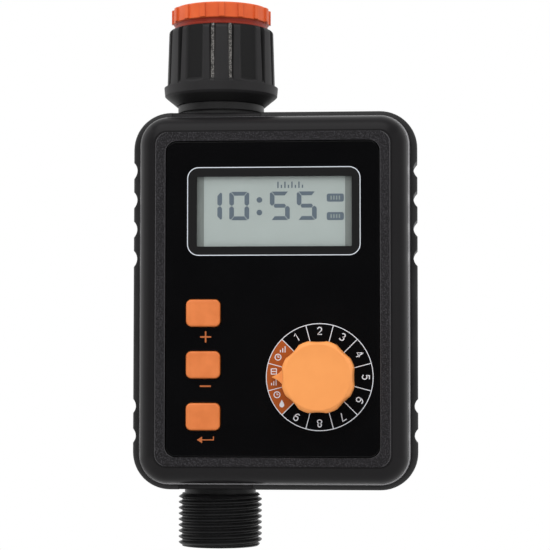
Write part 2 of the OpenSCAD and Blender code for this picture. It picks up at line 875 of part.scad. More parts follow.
module key_dome(i) {
    head = key_foot - dome_gap;
    color(natural_plastic) face() translate([key_u, key_v - i * key_pitch, 0]) rotate_extrude()
        polygon([[0, head], [dome_head_r, head], [dome_r - dome_wall, board_top + dome_rim_t],
            [dome_r, board_top + dome_rim_t], [dome_r, board_top], [dome_r - 2 * dome_wall, board_top],
            [dome_head_r - dome_wall, head - 2 * dome_wall], [0, head - 2 * dome_wall]]);
}

module button_plus() {
    key(0);
}

module button_minus() {
    key(1);
}

module button_enter() {
    key(2);
}

module key_dome_plus() {
    key_dome(0);
}

module key_dome_minus() {
    key_dome(1);
}

module key_dome_enter() {
    key_dome(2);
}

// Dial
module on_dial() {
    face() translate([dial_u, dial_v, 0]) children();
}

module selector_switch() {
    color(black_plastic) on_dial() difference() {
        union() {
            plate(switch_w, switch_w, board_t, switch_top - switch_t, switch_top);
            rod(bush_r, switch_top - board_t, bush_top);
        }
        rod(dial_shaft_r + running_gap, switch_top - switch_t + board_t, bush_top + cut_over);
    }
}

module knob_outline() {
    difference() {
        circle(knob_r);
        for (i = [0:scallop_n - 1]) rotate(360 / scallop_n * i)
            translate([knob_r + scallop_r - scallop_d, 0]) circle(scallop_r);
    }
}

module knob_turned_form() {
    top_r = knob_r - knob_draft;
    rotate_extrude() {
        polygon([[0, knob_foot], [knob_r + running_gap, knob_foot], [top_r, knob_top - knob_edge_r],
            [0, knob_top - knob_edge_r]]);
        translate([0, knob_top - knob_edge_r]) square([top_r - knob_edge_r, knob_edge_r]);
        translate([top_r - knob_edge_r, knob_top - knob_edge_r]) quarter_disc(knob_edge_r);
    }
}

module pointer_outline() {
    difference() {
        polygon([[-pointer_reach, 0], [-pointer_root, -pointer_half], [-pointer_root, pointer_half]]);
        for (s = [-1, 1])
            translate([-pointer_reach + pointer_half / 2, s * (pointer_flare_r + pointer_half / 3)])
                circle(pointer_flare_r);
    }
}

module dial_knob() {
    hollow_r = knob_r - scallop_d - knob_draft - knob_wall;
    color(dial_orange) on_dial() difference() {
        union() {
            difference() {
                intersection() {
                    translate([0, 0, knob_foot]) linear_extrude(knob_h) knob_outline();
                    knob_turned_form();
                }
                rod(hollow_r, knob_foot - cut_over, knob_top - knob_wall);
            }
            rod(knob_boss_r, knob_foot, knob_top - knob_wall / 2);
            translate([0, 0, knob_foot]) linear_extrude(pointer_h) pointer_outline();
        }
        rod(dial_shaft_r + running_gap, knob_foot - cut_over, dial_shaft_top);
    }
}

module dial_shaft() {
    color(natural_plastic) on_dial()
        rod(dial_shaft_r, switch_top - switch_t + board_t + running_gap, dial_shaft_top);
}

module dial_seal() {
    color(rubber_black) on_dial() translate([0, 0, panel_seat - dial_ring_r - dial_ring_gap]) rotate_extrude()
        translate([dial_shaft_r + dial_ring_r + dial_ring_gap, 0]) circle(dial_ring_r);
}

// Batteries
module battery_cells() {
    color(steel) face() for (s = [-1, 1])
        translate([battery_u + s * battery_pitch / 2, battery_v + battery_l / 2, -battery_w])
            rotate([-90 * s, 0, 0]) {
                rod(battery_r, -battery_l / 2, battery_l / 2 - nub_l);
                rod(nub_r, battery_l / 2 - 2 * nub_l, battery_l / 2);
            }
}

module contact(u, v, up) {
    translate([u, v, -battery_w]) rotate([-90 * up, 0, 0]) {
        plate(contact_w, contact_w, contact_t, -contact_t, 0);
        translate([0, 0, -contact_room + bump_gap])
            cylinder(r1 = bump_tip_r, r2 = bump_r, h = contact_room - bump_gap - contact_t / 2);
    }
}

module battery_contacts() {
    color(steel) face() {
        for (s = [-1, 1]) contact(battery_u + s * battery_pitch / 2, bay_v1, 1);
        for (s = [-1, 1]) contact(battery_u + s * battery_pitch / 2, bay_v0, -1);
        translate([battery_u - battery_pitch / 2, bay_v0, -battery_w - contact_w / 4])
            cube([battery_pitch, contact_t, contact_w / 2]);
    }
}

module cover_seal_ring(low, high) {
    difference() {
        edge_plate(bay_u0 - cover_seal_w, bay_u1 + cover_seal_w, bay_v0 - cover_seal_w, bay_v1 + cover_seal_w,
            cover_seal_w, low, high);
        edge_plate(bay_u0, bay_u1, bay_v0, bay_v1, cover_gap, low - cut_over, high + cut_over);
    }
}

module battery_cover() {
    inner = cover_t - rear_w;
    color(black_plastic) face() difference() {
        union() {
            edge_plate(cover_u0 + cover_gap, cover_u1 - cover_gap, cover_v0 + cover_gap, cover_v1 - cover_gap,
                cover_r - cover_gap, -rear_w, inner);
            difference() {
                edge_plate(bay_u0 + cover_gap, bay_u1 - cover_gap, bay_v0 + cover_gap, bay_v1 - cover_gap,
                    cover_gap, inner - cover_t / 2, inner + cover_rib_l);
                edge_plate(bay_u0 + cover_rib_t, bay_u1 - cover_rib_t, bay_v0 + cover_rib_t,
                    bay_v1 - cover_rib_t, cover_gap, inner, inner + cover_rib_l + cut_over);
            }
        }
        cover_seal_ring(inner - cover_seal_sink, inner + cut_over / 2);
        cover_screw_places() rod(cover_screw_r + running_gap, -rear_w - cut_over, inner + cut_over);
        cover_screw_places() rod(cover_screw_head_r + slip_gap, -rear_w - cut_over,
            -rear_w + cover_screw_head_h);
        translate([battery_u, cover_v0 + thumb_lift, -rear_w - thumb_r + thumb_d]) sphere(thumb_r);
    }
}

module cover_seal() {
    low = cover_t - rear_w - cover_seal_sink;
    color(rubber_black) face() cover_seal_ring(low, cover_floor_w - running_gap);
}

module cover_screws() {
    color(steel) face() cover_screw_places() translate([0, 0, -rear_w + cover_screw_head_h])
        pan_screw(cover_screw_r, cover_screw_l, cover_screw_head_r, cover_screw_head_h);
}

// Tap joint
module tap_adapter() {
    washer_z = -tap_thread_l - tap_washer_t;
    color(adapter_orange) difference() {
        union() {
            rotate_extrude() polygon([[0, 0], [adapter_body_r - adapter_edge, 0],
                [adapter_body_r, -adapter_edge],
                [adapter_body_r, -adapter_head_h], [adapter_neck_r, -adapter_head_h],
                [adapter_neck_r, adapter_lip_z], [adapter_step_r, adapter_lip_z],
                [adapter_step_r, adapter_foot_z], [plug_r, adapter_foot_z],
                [plug_r, plug_foot_z + adapter_edge], [plug_r - adapter_edge, plug_foot_z],
                [0, plug_foot_z]]);
            for (i = [0:rib_n - 1]) rotate(360 / rib_n * i - 90 + grip_turn - rib_angle / 2)
                rotate_extrude(angle = rib_angle) polygon([[rib_root_r, -rib_top],
                    [adapter_r - rib_edge, -rib_top],
                    [adapter_r, -rib_top - rib_edge], [adapter_r, rib_lift - adapter_head_h],
                    [rib_root_r, rib_lift - adapter_head_h]]);
        }
        rod(tap_thread_r, -tap_thread_l, cut_over);
        rod(washer_seat_r, washer_z, cut_over);
        rod(adapter_way_r, plug_foot_z - cut_over, cut_over);
    }
}

module tap_washer() {
    color(rubber_black) ring(tap_washer_r, adapter_way_r, -tap_thread_l - tap_washer_t + running_gap,
        -tap_thread_l);
}

module nut_section() {
    flange_foot_r = nut_flange_r - flange_lean;
    difference() {
        polygon([[nut_bore_r, nut_top_z], [nut_top_r, nut_top_z], [nut_top_r, nut_top_z - nut_edge_r],
            [nut_low_r, nut_flange_z], [nut_flange_r, nut_flange_z],
            [flange_foot_r, nut_cone_z + flange_edge], [flange_foot_r - flange_edge, nut_cone_z],
            [nut_cone_r, nut_foot_z], [nut_hole_r, nut_foot_z], [nut_hole_r, nut_shoulder_z],
            [nut_bore_r, nut_shoulder_z]]);
        translate([nut_top_r - nut_edge_r, nut_top_z - nut_edge_r]) difference() {
            square(nut_edge_r + cut_over);
            circle(nut_edge_r);
        }
    }
}

// Flute in the side that faces +x: its floor leans in to the open top, its sides flare, its foot slopes
module flute(floor_w, flare, top_d, foot_d) {
    foot_x = nut_low_r - foot_d;
    lean = atan((foot_x - nut_top_r + top_d) / nut_flute_h);
    reach = nut_flange_r - foot_x + cut_over;
    half = floor_w / 2 + reach * flare;
    tall = nut_flute_h + 2 * cut_over;
    translate([foot_x, 0, nut_flange_z]) rotate([0, -lean, 0]) intersection() {
        linear_extrude(tall) polygon([[0, -floor_w / 2], [reach, -half], [reach, half], [0, floor_w / 2]]);
        rotate([90, 0, 0]) translate([0, 0, -half]) linear_extrude(2 * half)
            polygon([[0, flute_rise], [foot_d, flute_lift], [reach, flute_lift], [reach, tall],
                [0, tall]]);
    }
}

module swivel_nut() {
    color(black_plastic) difference() {
        rotate_extrude() nut_section();
        for (g = [0:rib_group_n - 1]) rotate(360 / rib_group_n * g - 90 + grip_turn) {
            for (s = [-1, 1]) rotate(s * groove_offset)
                flute(groove_floor, groove_flare, groove_d, groove_foot_d);
            rotate(180 / rib_group_n) flute(recess_floor, recess_flare, recess_d, recess_foot_d);
        }
    }
}

module nut_retaining_ring() {
    color(steel) difference() {
        ring(ring_r, inlet_r - ring_groove + running_gap, nut_shoulder_z + running_gap,
            nut_shoulder_z + running_gap + ring_t);
        translate([0, -ring_mouth / 2, nut_shoulder_z]) cube([2 * ring_r, ring_mouth, 2 * ring_t]);
    }
}

module inlet_washer() {
    color(rubber_black) ring(inlet_washer_r, adapter_way_r, inlet_top_z, inlet_top_z + inlet_washer_t);
}

module inlet_filter() {
    foot = inlet_top_z - filter_l;
    color(natural_plastic) difference() {
        union() {
            rod(filter_rim_r, inlet_top_z - filter_rim_t, inlet_top_z);
            rod(filter_r, foot, inlet_top_z - filter_rim_t / 2);
        }
        rod(filter_r - filter_wall, foot + filter_wall, inlet_top_z + cut_over);
        for (i = [0:filter_slot_n / 2 - 1]) rotate(360 / filter_slot_n * i)
            translate([-filter_r - cut_over, -filter_slot_w / 2, foot + 2 * filter_wall])
                cube([2 * (filter_r + cut_over), filter_slot_w, filter_slot_l]);
    }
}

// Valve
module valve_body() {
    color(black_plastic) difference() {
        union() {
            rod(inlet_r, collar_top_z - cut_over, inlet_top_z);
            rod(neck_r, collar_flange_z - collar_flange_h / 2, collar_top_z);
            intersection() {
                rod(collar_flange_r, collar_flange_z - collar_flange_h, collar_flange_z);
                translate([-collar_flat, -collar_flange_r, collar_flange_z - collar_flange_h])
                    cube([2 * collar_flat, 2 * collar_flange_r, collar_flange_h]);
            }
            rod(pipe_r, ball_z, collar_flange_z - collar_flange_h / 2);
            rod(chamber_or, chamber_foot_z, chamber_top_z + chamber_crown);
            along_x(0, 0, ball_z) rod(gland_r, 0, gland_x);
        }
        rod(way_r, chamber_foot_z - cut_over, inlet_top_z + cut_over);
        rod(chamber_r, chamber_foot_z - cut_over, chamber_top_z);
        rod(filter_rim_r + running_gap, inlet_top_z - filter_rim_t - running_gap, inlet_top_z + cut_over);
        ring(inlet_r + cut_over, inlet_r - ring_groove, nut_shoulder_z,
            nut_shoulder_z + ring_t + 2 * running_gap);
        ring(neck_r + cut_over, neck_r - neck_groove_d, neck_groove_z, neck_groove_z + neck_groove_h);
        ring(neck_r + cut_over, neck_r - seal_side, neck_seal_z - seal_side, neck_seal_z + seal_side);
        along_x(0, 0, ball_z) rod(stem_r + stem_gap, chamber_r / 2, gland_x + cut_over);
        along_x(0, 0, ball_z) rod(gland_bore_r, gland_floor_x, gland_x + cut_over);
        ring(chamber_r + seal_side, chamber_r - cut_over, chamber_foot_z - cut_over,
            chamber_foot_z + seal_side);
    }
}

module neck_seal() {
    color(rubber_black) ring(neck_hole_r - running_gap / 2, neck_r - seal_side + running_gap / 2,
        neck_seal_z - seal_side + running_gap, neck_seal_z + seal_side - running_gap);
}

module ball_seats() {
    color(natural_plastic) difference() {
        for (s = [-1, 1]) translate([0, 0, ball_z]) mirror([0, 0, s < 0 ? 1 : 0])
            ring(seat_r, seat_bore_r, seat_reach - seat_t, seat_reach);
        translate([0, 0, ball_z]) sphere(ball_r + seat_gap);
    }
}

module valve_ball() {
    slot_w = tongue_w + 2 * running_gap;
    color(steel) translate([0, 0, ball_z]) difference() {
        sphere(ball_r);
        rotate([90, 0, 0]) cylinder(r = ball_bore_r, h = 2 * ball_r + cut_over, center = true);
        translate([ball_r - tongue_depth, -slot_w / 2, -ball_r]) cube([ball_r, slot_w, 2 * ball_r]);
    }
}

module valve_stem() {
    tip_x = ball_r - tongue_depth + running_gap;
    shank_x = chamber_r - stem_lead;
    color(steel) {
        along_x(0, 0, ball_z) rod(stem_r, shank_x, stem_end_x);
        translate([tip_x, -tongue_w / 2, ball_z - tongue_l / 2]) cube([shank_x - tip_x + stem_r / 2, tongue_w,
            tongue_l]);
    }
}

module stem_seals() {
    room = gland_x - gland_floor_x;
    color(rubber_black) along_x(0, 0, ball_z) for (i = [0:1])
        ring(gland_bore_r - running_gap, stem_r + running_gap, gland_floor_x + room / 2 * i + running_gap,
            gland_floor_x + room / 2 * (i + 1) - running_gap);
}

module body_seal() {
    color(rubber_black) ring(chamber_r + seal_side - running_gap, chamber_r + running_gap,
        chamber_foot_z, chamber_foot_z + seal_side - running_gap);
}

module outlet_spigot() {
    plug_top = ball_z - seat_reach;
    flange_z = cavity_foot_z + slip_gap;
    color(black_plastic) difference() {
        union() {
            rod(spigot_plug_r, chamber_foot_z - spigot_flange_h, plug_top);
            rod(chamber_or, chamber_foot_z - spigot_flange_h, chamber_foot_z);
            rod(outlet_neck_r, outlet_foot_z + outlet_edge, chamber_foot_z - spigot_flange_h / 2);
            rod(outlet_flange_r, flange_z, flange_z + outlet_flange_h);
            rod(outlet_r, outlet_foot_z + outlet_edge, outlet_top_z);
            translate([0, 0, outlet_foot_z])
                cylinder(r1 = outlet_r - outlet_edge, r2 = outlet_r, h = outlet_edge);
        }
        rod(outlet_bore_r, outlet_foot_z - cut_over, plug_top + cut_over);
        ring(outlet_neck_r + cut_over, outlet_neck_r - seal_side, outlet_seal_z - seal_side,
            outlet_seal_z + seal_side);
    }
}

module outlet_collar_seal() {
    color(rubber_black) ring(outlet_hole_r - running_gap / 2, outlet_neck_r - seal_side + running_gap / 2,
        outlet_seal_z - seal_side + running_gap, outlet_seal_z + seal_side - running_gap);
}

// Gear train
function involute(a) = tan(a) - a * PI / 180;

// Half of a tooth's angle at a radius
function half_tooth(n, pitch_r, base_r, r) =
    90 / n - backlash / pitch_r * 90 / PI
    + (involute(pressure_angle) - involute(acos(min(1, base_r / r)))) * 180 / PI;

module gear_outline(m, n) {
    pitch_r = m * n / 2;
    base_r = pitch_r * cos(pressure_angle);
    root_r = pitch_r - dedendum * m;
    tip_r = pitch_r + addendum * m;
    start_r = max(base_r, root_r);
    radii = concat([root_r], [for (k = [0:flank_steps]) start_r + (tip_r - start_r) * k / flank_steps]);
    last = len(radii) - 1;
    polygon([for (i = [0:n - 1], j = [0:2 * last + 1])
        let (r = j <= last ? radii[j] : radii[2 * last + 1 - j],
            side = j <= last ? -1 : 1,
            a = 360 / n * i + side * half_tooth(n, pitch_r, base_r, r))
        [r * cos(a), r * sin(a)]]);
}

module gear(m, n, turn, low, high) {
    translate([0, 0, low]) linear_extrude(high - low) rotate(turn) gear_outline(m, n);
}

module output_gear() {
    hub_r = stem_r + output_hub_t;
    color(natural_plastic) along_x(0, 0, ball_z) difference() {
        union() {
            gear(stem_module, output_n, idler_angle, output_x, output_x + output_t);
            rod(hub_r, plate_inner_x + plate_t + slip_gap, output_x + output_t);
        }
        rod(stem_r + pin_gap, 0, stem_end_x + cut_over);
    }
}

module idler_gear() {
    color(natural_plastic) along_x(0, idler_y, idler_z) difference() {
        union() {
            gear(stem_module, idler_small_n, idler_angle + 180 + 180 / idler_small_n,
                plate_inner_x + plate_t + slip_gap, idler_large_x + idler_large_t / 2);
            gear(motor_module, idler_large_n, motor_angle, idler_large_x, idler_large_x + idler_large_t);
            rod(pin_r + idler_hub_t, idler_large_x, plate_outer_x - slip_gap);
        }
        rod(pin_r + running_gap, 0, plate_outer_x + cut_over);
    }
}

module idler_pin() {
    color(steel) along_x(0, idler_y, idler_z) rod(pin_r, plate_inner_x, plate_outer_x + plate_t);
}

module motor_pinion() {
    color(steel) along_x(0, motor_y, motor_z) {
        gear(motor_module, pinion_n, motor_angle + 180 + 180 / pinion_n, pinion_x, pinion_x + pinion_t);
        rod(motor_shaft_r, pinion_x + pinion_t / 2, plate_outer_x + plate_t + motor_shaft_l);
    }
}

module drive_motor() {
    front = plate_outer_x + plate_t;
    color(steel) along_x(0, motor_y, motor_z) difference() {
        union() {
            rod(motor_r, front, front + motor_l);
            rod(motor_boss_r, plate_outer_x, front + cut_over);
            rod(motor_boss_r, front + motor_l - cut_over, front + motor_l + plate_t);
        }
        rod(motor_shaft_r + running_gap, plate_outer_x - cut_over, front + motor_shaft_l + running_gap);
        motor_screw_places() rod(motor_screw_r + running_gap, front - cut_over, front + motor_shaft_l);
    }
}

module motor_screw_places() {
    for (s = [-1, 1]) rotate(motor_angle + 90) translate([s * motor_screw_reach, 0, 0]) children();
}

module motor_screws() {
    color(steel) along_x(0, motor_y, motor_z) motor_screw_places() translate([0, 0, plate_outer_x])
        pan_screw(motor_screw_r, plate_t + motor_shaft_l / 2, motor_screw_head_r, motor_screw_head_h);
}

module plate_outline() {
    translate([(plate_front_y + plate_rear_y) / 2, (plate_top_z + plate_foot_z) / 2])
        rounded_rect(plate_rear_y - plate_front_y, plate_top_z - plate_foot_z, plate_r);
}

module pillar_places() {
    for (y = [plate_front_y + pillar_inset, plate_rear_y - pillar_inset]) {
        translate([y, plate_foot_z + pillar_inset, 0]) children();
    }
    translate([plate_front_y + pillar_inset, plate_top_z - pillar_inset, 0]) children();
}

module gear_plate(x) {
    translate([0, 0, x]) linear_extrude(plate_t) plate_outline();
}

module gear_plate_inner() {
    color(natural_plastic) along_x(0, 0, 0) difference() {
        gear_plate(plate_inner_x);
        translate([0, ball_z, 0]) rod(stem_r + stem_gap, 0, plate_outer_x);
        translate([idler_y, idler_z, 0]) rod(pin_r + pin_gap, 0, plate_outer_x);
    }
}

module gear_plate_outer() {
    color(natural_plastic) along_x(0, 0, 0) difference() {
        gear_plate(plate_outer_x);
        translate([idler_y, idler_z, 0]) rod(pin_r + pin_gap, 0, plate_outer_x + plate_t + cut_over);
        translate([motor_y, motor_z, 0]) rod(motor_boss_r + running_gap, 0,
            plate_outer_x + plate_t + cut_over);
        translate([motor_y, motor_z, 0]) motor_screw_places() rod(motor_screw_r + running_gap, 0,
            plate_outer_x + plate_t + cut_over);
    }
}

module gear_pillars() {
    color(steel) along_x(0, 0, 0) pillar_places() rod(pillar_post_r, plate_inner_x + plate_t, plate_outer_x);
}

front_shell();
rear_shell();
shell_gasket();
shell_screws();
front_panel();
display_window();
display_module();
display_holder();
main_board();
board_screws();
button_plus();
button_minus();
button_enter();
key_dome_plus();
key_dome_minus();
key_dome_enter();
selector_switch();
dial_knob();
dial_shaft();
dial_seal();
battery_cells();
battery_contacts();
battery_cover();
cover_seal();
cover_screws();
tap_adapter();
tap_washer();
swivel_nut();
nut_retaining_ring();
inlet_washer();
inlet_filter();
valve_body();
neck_seal();
ball_seats();
valve_ball();
valve_stem();
stem_seals();
body_seal();
outlet_spigot();
outlet_collar_seal();
gear_plate_inner();
gear_plate_outer();
gear_pillars();
idler_pin();
output_gear();
idler_gear();
motor_pinion();
drive_motor();
motor_screws();
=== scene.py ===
import json
import math

import bmesh
import bpy
from mathutils import Matrix, Vector


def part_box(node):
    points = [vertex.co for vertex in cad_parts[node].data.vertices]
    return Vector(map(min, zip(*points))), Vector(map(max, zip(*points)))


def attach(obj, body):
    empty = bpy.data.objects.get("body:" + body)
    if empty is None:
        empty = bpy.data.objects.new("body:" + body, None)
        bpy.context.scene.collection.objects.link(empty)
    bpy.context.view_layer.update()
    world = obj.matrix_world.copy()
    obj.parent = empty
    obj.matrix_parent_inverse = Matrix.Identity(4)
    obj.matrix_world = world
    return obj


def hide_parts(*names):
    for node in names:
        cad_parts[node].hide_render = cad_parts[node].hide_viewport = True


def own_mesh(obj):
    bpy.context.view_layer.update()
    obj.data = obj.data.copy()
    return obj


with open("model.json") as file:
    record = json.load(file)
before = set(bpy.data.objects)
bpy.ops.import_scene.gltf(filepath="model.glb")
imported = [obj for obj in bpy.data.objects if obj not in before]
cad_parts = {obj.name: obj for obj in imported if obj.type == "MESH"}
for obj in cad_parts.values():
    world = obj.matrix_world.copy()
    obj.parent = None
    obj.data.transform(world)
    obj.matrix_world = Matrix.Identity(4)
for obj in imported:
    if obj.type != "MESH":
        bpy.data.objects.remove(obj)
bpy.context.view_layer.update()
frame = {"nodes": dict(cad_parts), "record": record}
nodes = frame["nodes"]
scene = bpy.context.scene
scene.view_settings.view_transform = "Standard"
mm = 0.001
print("frame loaded:", len(nodes), "nodes")

# the face plane of the housing, seen from the front: u right, v up, w towards the viewer
face = {"u": 18.35, "v": -94.125, "panel": 25.4, "cell": 24.1}


def onFace(u, v, w):
    return Vector((face["u"] + u, -w, face["v"] + v)) * mm


# shader helpers

class Sock:
    # an output socket; sums on it add Math nodes
    def __init__(self, graph, socket):
        self.graph = graph
        self.socket = socket

    def math(self, operation, first, second):
        return self.graph.node("Math", {"operation": operation}, {0: first, 1: second})

    def __add__(self, other):
        return self.math("ADD", self, other)

    def __radd__(self, other):
        return self.math("ADD", other, self)

    def __sub__(self, other):
        return self.math("SUBTRACT", self, other)

    def __rsub__(self, other):
        return self.math("SUBTRACT", other, self)

    def __mul__(self, other):
        return self.math("MULTIPLY", self, other)

    def __rmul__(self, other):
        return self.math("MULTIPLY", other, self)

    def __lt__(self, other):
        return self.math("LESS_THAN", self, other)

    def __gt__(self, other):
        return self.math("GREATER_THAN", self, other)

    def highest(self, other):
        return self.math("MAXIMUM", self, other)

    def size(self):
        return self.math("ABSOLUTE", self, 0.0)

    def swing(self, reach):
        # a noise value turned into a swing around nought
        return (self - 0.5) * reach


class Graph:
    # a node tree that is filled node by node
    def __init__(self, tree):
        self.tree = tree
        tree.nodes.clear()

    def feed(self, target, value):
        if isinstance(value, Sock):
            self.tree.links.new(value.socket, target)
        else:
            target.default_value = value

    def node(self, kind, settings=None, sockets=None, out=0):
        made = self.tree.nodes.new("ShaderNode" + kind)
        for key, value in (settings or {}).items():
            setattr(made, key, value)
        for key, value in (sockets or {}).items():
            self.feed(made.inputs[key], value)
        return Sock(self, made.outputs[out]) if made.outputs else made

    def noise(self, place, scale, detail=2.0):
        return self.node("TexNoise", {}, {"Vector": place, "Scale": scale, "Detail": detail})

    def mixed(self, factor, first, second):
        return self.node("Mix", {"data_type": "RGBA"}, {0: factor, 6: first, 7: second}, out=2)

    def ramp(self, value, low, high):
        return self.node("MapRange", {}, {"Value": value, "From Min": low, "From Max": high})

    def place(self):
        return self.node("TexCoord", out="Object")

    def split(self, vector):
        made = self.node("SeparateXYZ", {}, {0: vector})
        return [Sock(self, socket) for socket in made.socket.node.outputs]

    def soft(self, radius):
        return self.node("Bevel", {"samples": 6}, {"Radius": radius})

    def bump(self, height, strength, depth, normal):
        sockets = {"Strength": strength, "Distance": depth, "Height": height, "Normal": normal}
        return self.node("Bump", {}, sockets)


def newFinish(name):
    mat = bpy.data.materials.new(name)
    mat.use_nodes = True
    return mat, Graph(mat.node_tree)


def closeFinish(graph, sockets):
    shader = graph.node("BsdfPrincipled", {}, sockets)
    graph.node("OutputMaterial", {}, {"Surface": shader})


def rgb(r, g, b):
    return (r, g, b, 1.0)


# finishes: clouds of colour, with a finer grain that bumps the surface

cloudSet = {"detail": 3.0, "low": 0.35, "high": 0.65, "shine": 0.5}

plasticLooks = {
    "shellBlack": {"dark": rgb(0.019, 0.0187, 0.0192), "light": rgb(0.024, 0.0236, 0.0242), "cloud": 60.0,
                   "grain": 2600.0, "rough": 0.42, "spread": 0.10, "strength": 0.12, "depth": 0.00004,
                   "edge": 0.0004, "shine": 0.34},
    "tubBlack": {"dark": rgb(0.015, 0.0148, 0.0153), "light": rgb(0.021, 0.0207, 0.0213), "cloud": 90.0,
                 "grain": 1500.0, "rough": 0.52, "spread": 0.14, "strength": 0.35, "depth": 0.00006,
                 "edge": 0.0004, "shine": 0.4},
    "outletBlack": {"dark": rgb(0.0105, 0.0105, 0.011), "light": rgb(0.0135, 0.0135, 0.014), "cloud": 140.0,
                    "grain": 3200.0, "rough": 0.36, "spread": 0.10, "strength": 0.10, "depth": 0.00003,
                    "edge": 0.00015, "shine": 0.3},
    "keyOrange": {"dark": rgb(0.74, 0.185, 0.034), "light": rgb(0.82, 0.22, 0.048), "cloud": 220.0,
                  "grain": 4200.0, "rough": 0.5, "spread": 0.12, "strength": 0.22, "depth": 0.00005,
                  "edge": 0.0005},
    "dialOrange": {"dark": rgb(0.96, 0.345, 0.082), "light": rgb(0.99, 0.365, 0.09), "cloud": 130.0,
                   "grain": 3600.0, "rough": 0.46, "spread": 0.10, "strength": 0.10, "depth": 0.00004,
                   "edge": 0.0006},
    "naturalWhite": {"dark": rgb(0.70, 0.69, 0.63), "light": rgb(0.78, 0.77, 0.72), "cloud": 180.0,
                     "grain": 2600.0, "rough": 0.5, "spread": 0.10, "strength": 0.10, "depth": 0.00004,
                     "edge": 0.0002},
    "boardGreen": {"dark": rgb(0.012, 0.09, 0.04), "light": rgb(0.03, 0.15, 0.07), "cloud": 420.0,
                   "grain": 2400.0, "rough": 0.34, "spread": 0.10, "strength": 0.2, "depth": 0.00004,
                   "edge": 0.0002},
    "sealBlack": {"dark": rgb(0.012, 0.012, 0.012), "light": rgb(0.022, 0.022, 0.022), "cloud": 300.0,
                  "grain": 2200.0, "rough": 0.72, "spread": 0.12, "strength": 0.2, "depth": 0.00005,
                  "edge": 0.0003},
    "domeClear": {"dark": rgb(0.52, 0.52, 0.5), "light": rgb(0.62, 0.62, 0.6), "cloud": 260.0,
                  "grain": 2000.0, "rough": 0.55, "spread": 0.10, "strength": 0.1, "depth": 0.00004,
                  "edge": 0.0002},
}


def plastic(name):
    look = plasticLooks[name]
    mat, graph = newFinish(name)
    place = graph.place()
    cloud = graph.noise(place, look["cloud"], cloudSet["detail"])
    grain = graph.noise(place, look["grain"])
    mottle = graph.ramp(cloud, cloudSet["low"], cloudSet["high"])
    closeFinish(graph, {
        "Base Color": graph.mixed(mottle, look["dark"], look["light"]),
        "Roughness": look["rough"] + grain.swing(look["spread"]) + cloud.swing(look["spread"]),
        "Specular IOR Level": look.get("shine", cloudSet["shine"]),
        "Normal": graph.bump(grain, look["strength"], look["depth"], graph.soft(look["edge"])),
    })
    return mat


metalLooks = {
    "zincSteel": {"dark": rgb(0.46, 0.46, 0.48), "light": rgb(0.62, 0.62, 0.64), "rough": 0.28,
                  "brush": 1400.0},
    "cellSteel": {"dark": rgb(0.40, 0.40, 0.42), "light": rgb(0.52, 0.52, 0.54), "rough": 0.32,
                  "brush": 900.0},
    "ballChrome": {"dark": rgb(0.74, 0.74, 0.76), "light": rgb(0.82, 0.82, 0.84), "rough": 0.09,
                   "brush": 700.0},
    "turnedBrass": {"dark": rgb(0.58, 0.38, 0.13), "light": rgb(0.72, 0.52, 0.2), "rough": 0.24,
                    "brush": 1500.0},
}
brushSet = {"stretch": (1.0, 0.06, 1.0), "cloud": 160.0, "spread": 0.16, "strength": 0.08,
            "depth": 0.00002, "edge": 0.0002}


def metal(name):
    look = metalLooks[name]
    mat, graph = newFinish(name)
    place = graph.place()
    stretch = graph.node("Mapping", {}, {"Vector": place, "Scale": brushSet["stretch"]})
    brush = graph.noise(stretch, look["brush"], cloudSet["detail"])
    cloud = graph.noise(place, brushSet["cloud"], cloudSet["detail"])
    edge = graph.soft(brushSet["edge"])
    closeFinish(graph, {
        "Base Color": graph.mixed(cloud, look["dark"], look["light"]),
        "Metallic": 1.0,
        "Roughness": look["rough"] + brush.swing(brushSet["spread"]),
        "Normal": graph.bump(brush, brushSet["strength"], brushSet["depth"], edge),
    })
    return mat


# the front shell has a smooth shoulder, a painted highlight along its rim that is stronger at the right and
# the foot, painted highlights on sideways edges at the front, and a spark-textured border around the panel
frontLook = {"shoulderDark": rgb(0.0125, 0.0118, 0.0127), "shoulderLight": rgb(0.0155, 0.0147, 0.0157),
             "borderDark": rgb(0.0135, 0.0127, 0.0142), "borderLight": rgb(0.05, 0.0475, 0.053),
             "shoulderRough": 0.30, "borderRough": 0.58, "cut": -0.0255, "shine": 0.16, "cloud": 60.0,
             "sparkle": 2600.0, "sparkleDetail": 1.0, "speckLow": 0.46, "speckHigh": 0.70,
             "grain": 2800.0, "grainShare": 0.12, "spread": 0.1, "strength": 0.55, "depth": 0.00007,
             "edge": 0.0003,
             # the rim keys place a painted highlight: a pale colour along the shell's rim, weighted towards
             # the right and the foot
             "rimStart": -0.0195, "rimEnd": -0.0187, "rimLast": -0.0173, "rimOut": -0.0162, "rimRough": 0.22,
             "rimHighlightPaint": rgb(0.40, 0.396, 0.41), "rimLeft": 0.005, "rimRight": 0.06, "rimFoot": -0.15,
             "rimWaist": -0.12, "rimLeast": 0.4,
             # the edge keys place a painted highlight on sideways-facing edges at the front
             "edgeHighlightPaint": rgb(0.13, 0.128, 0.134), "edgeWidth": 0.0004, "edgeCut": -0.0250,
             "edgeBend": (0.02, 0.16), "edgeLean": (0.05, 0.3)}


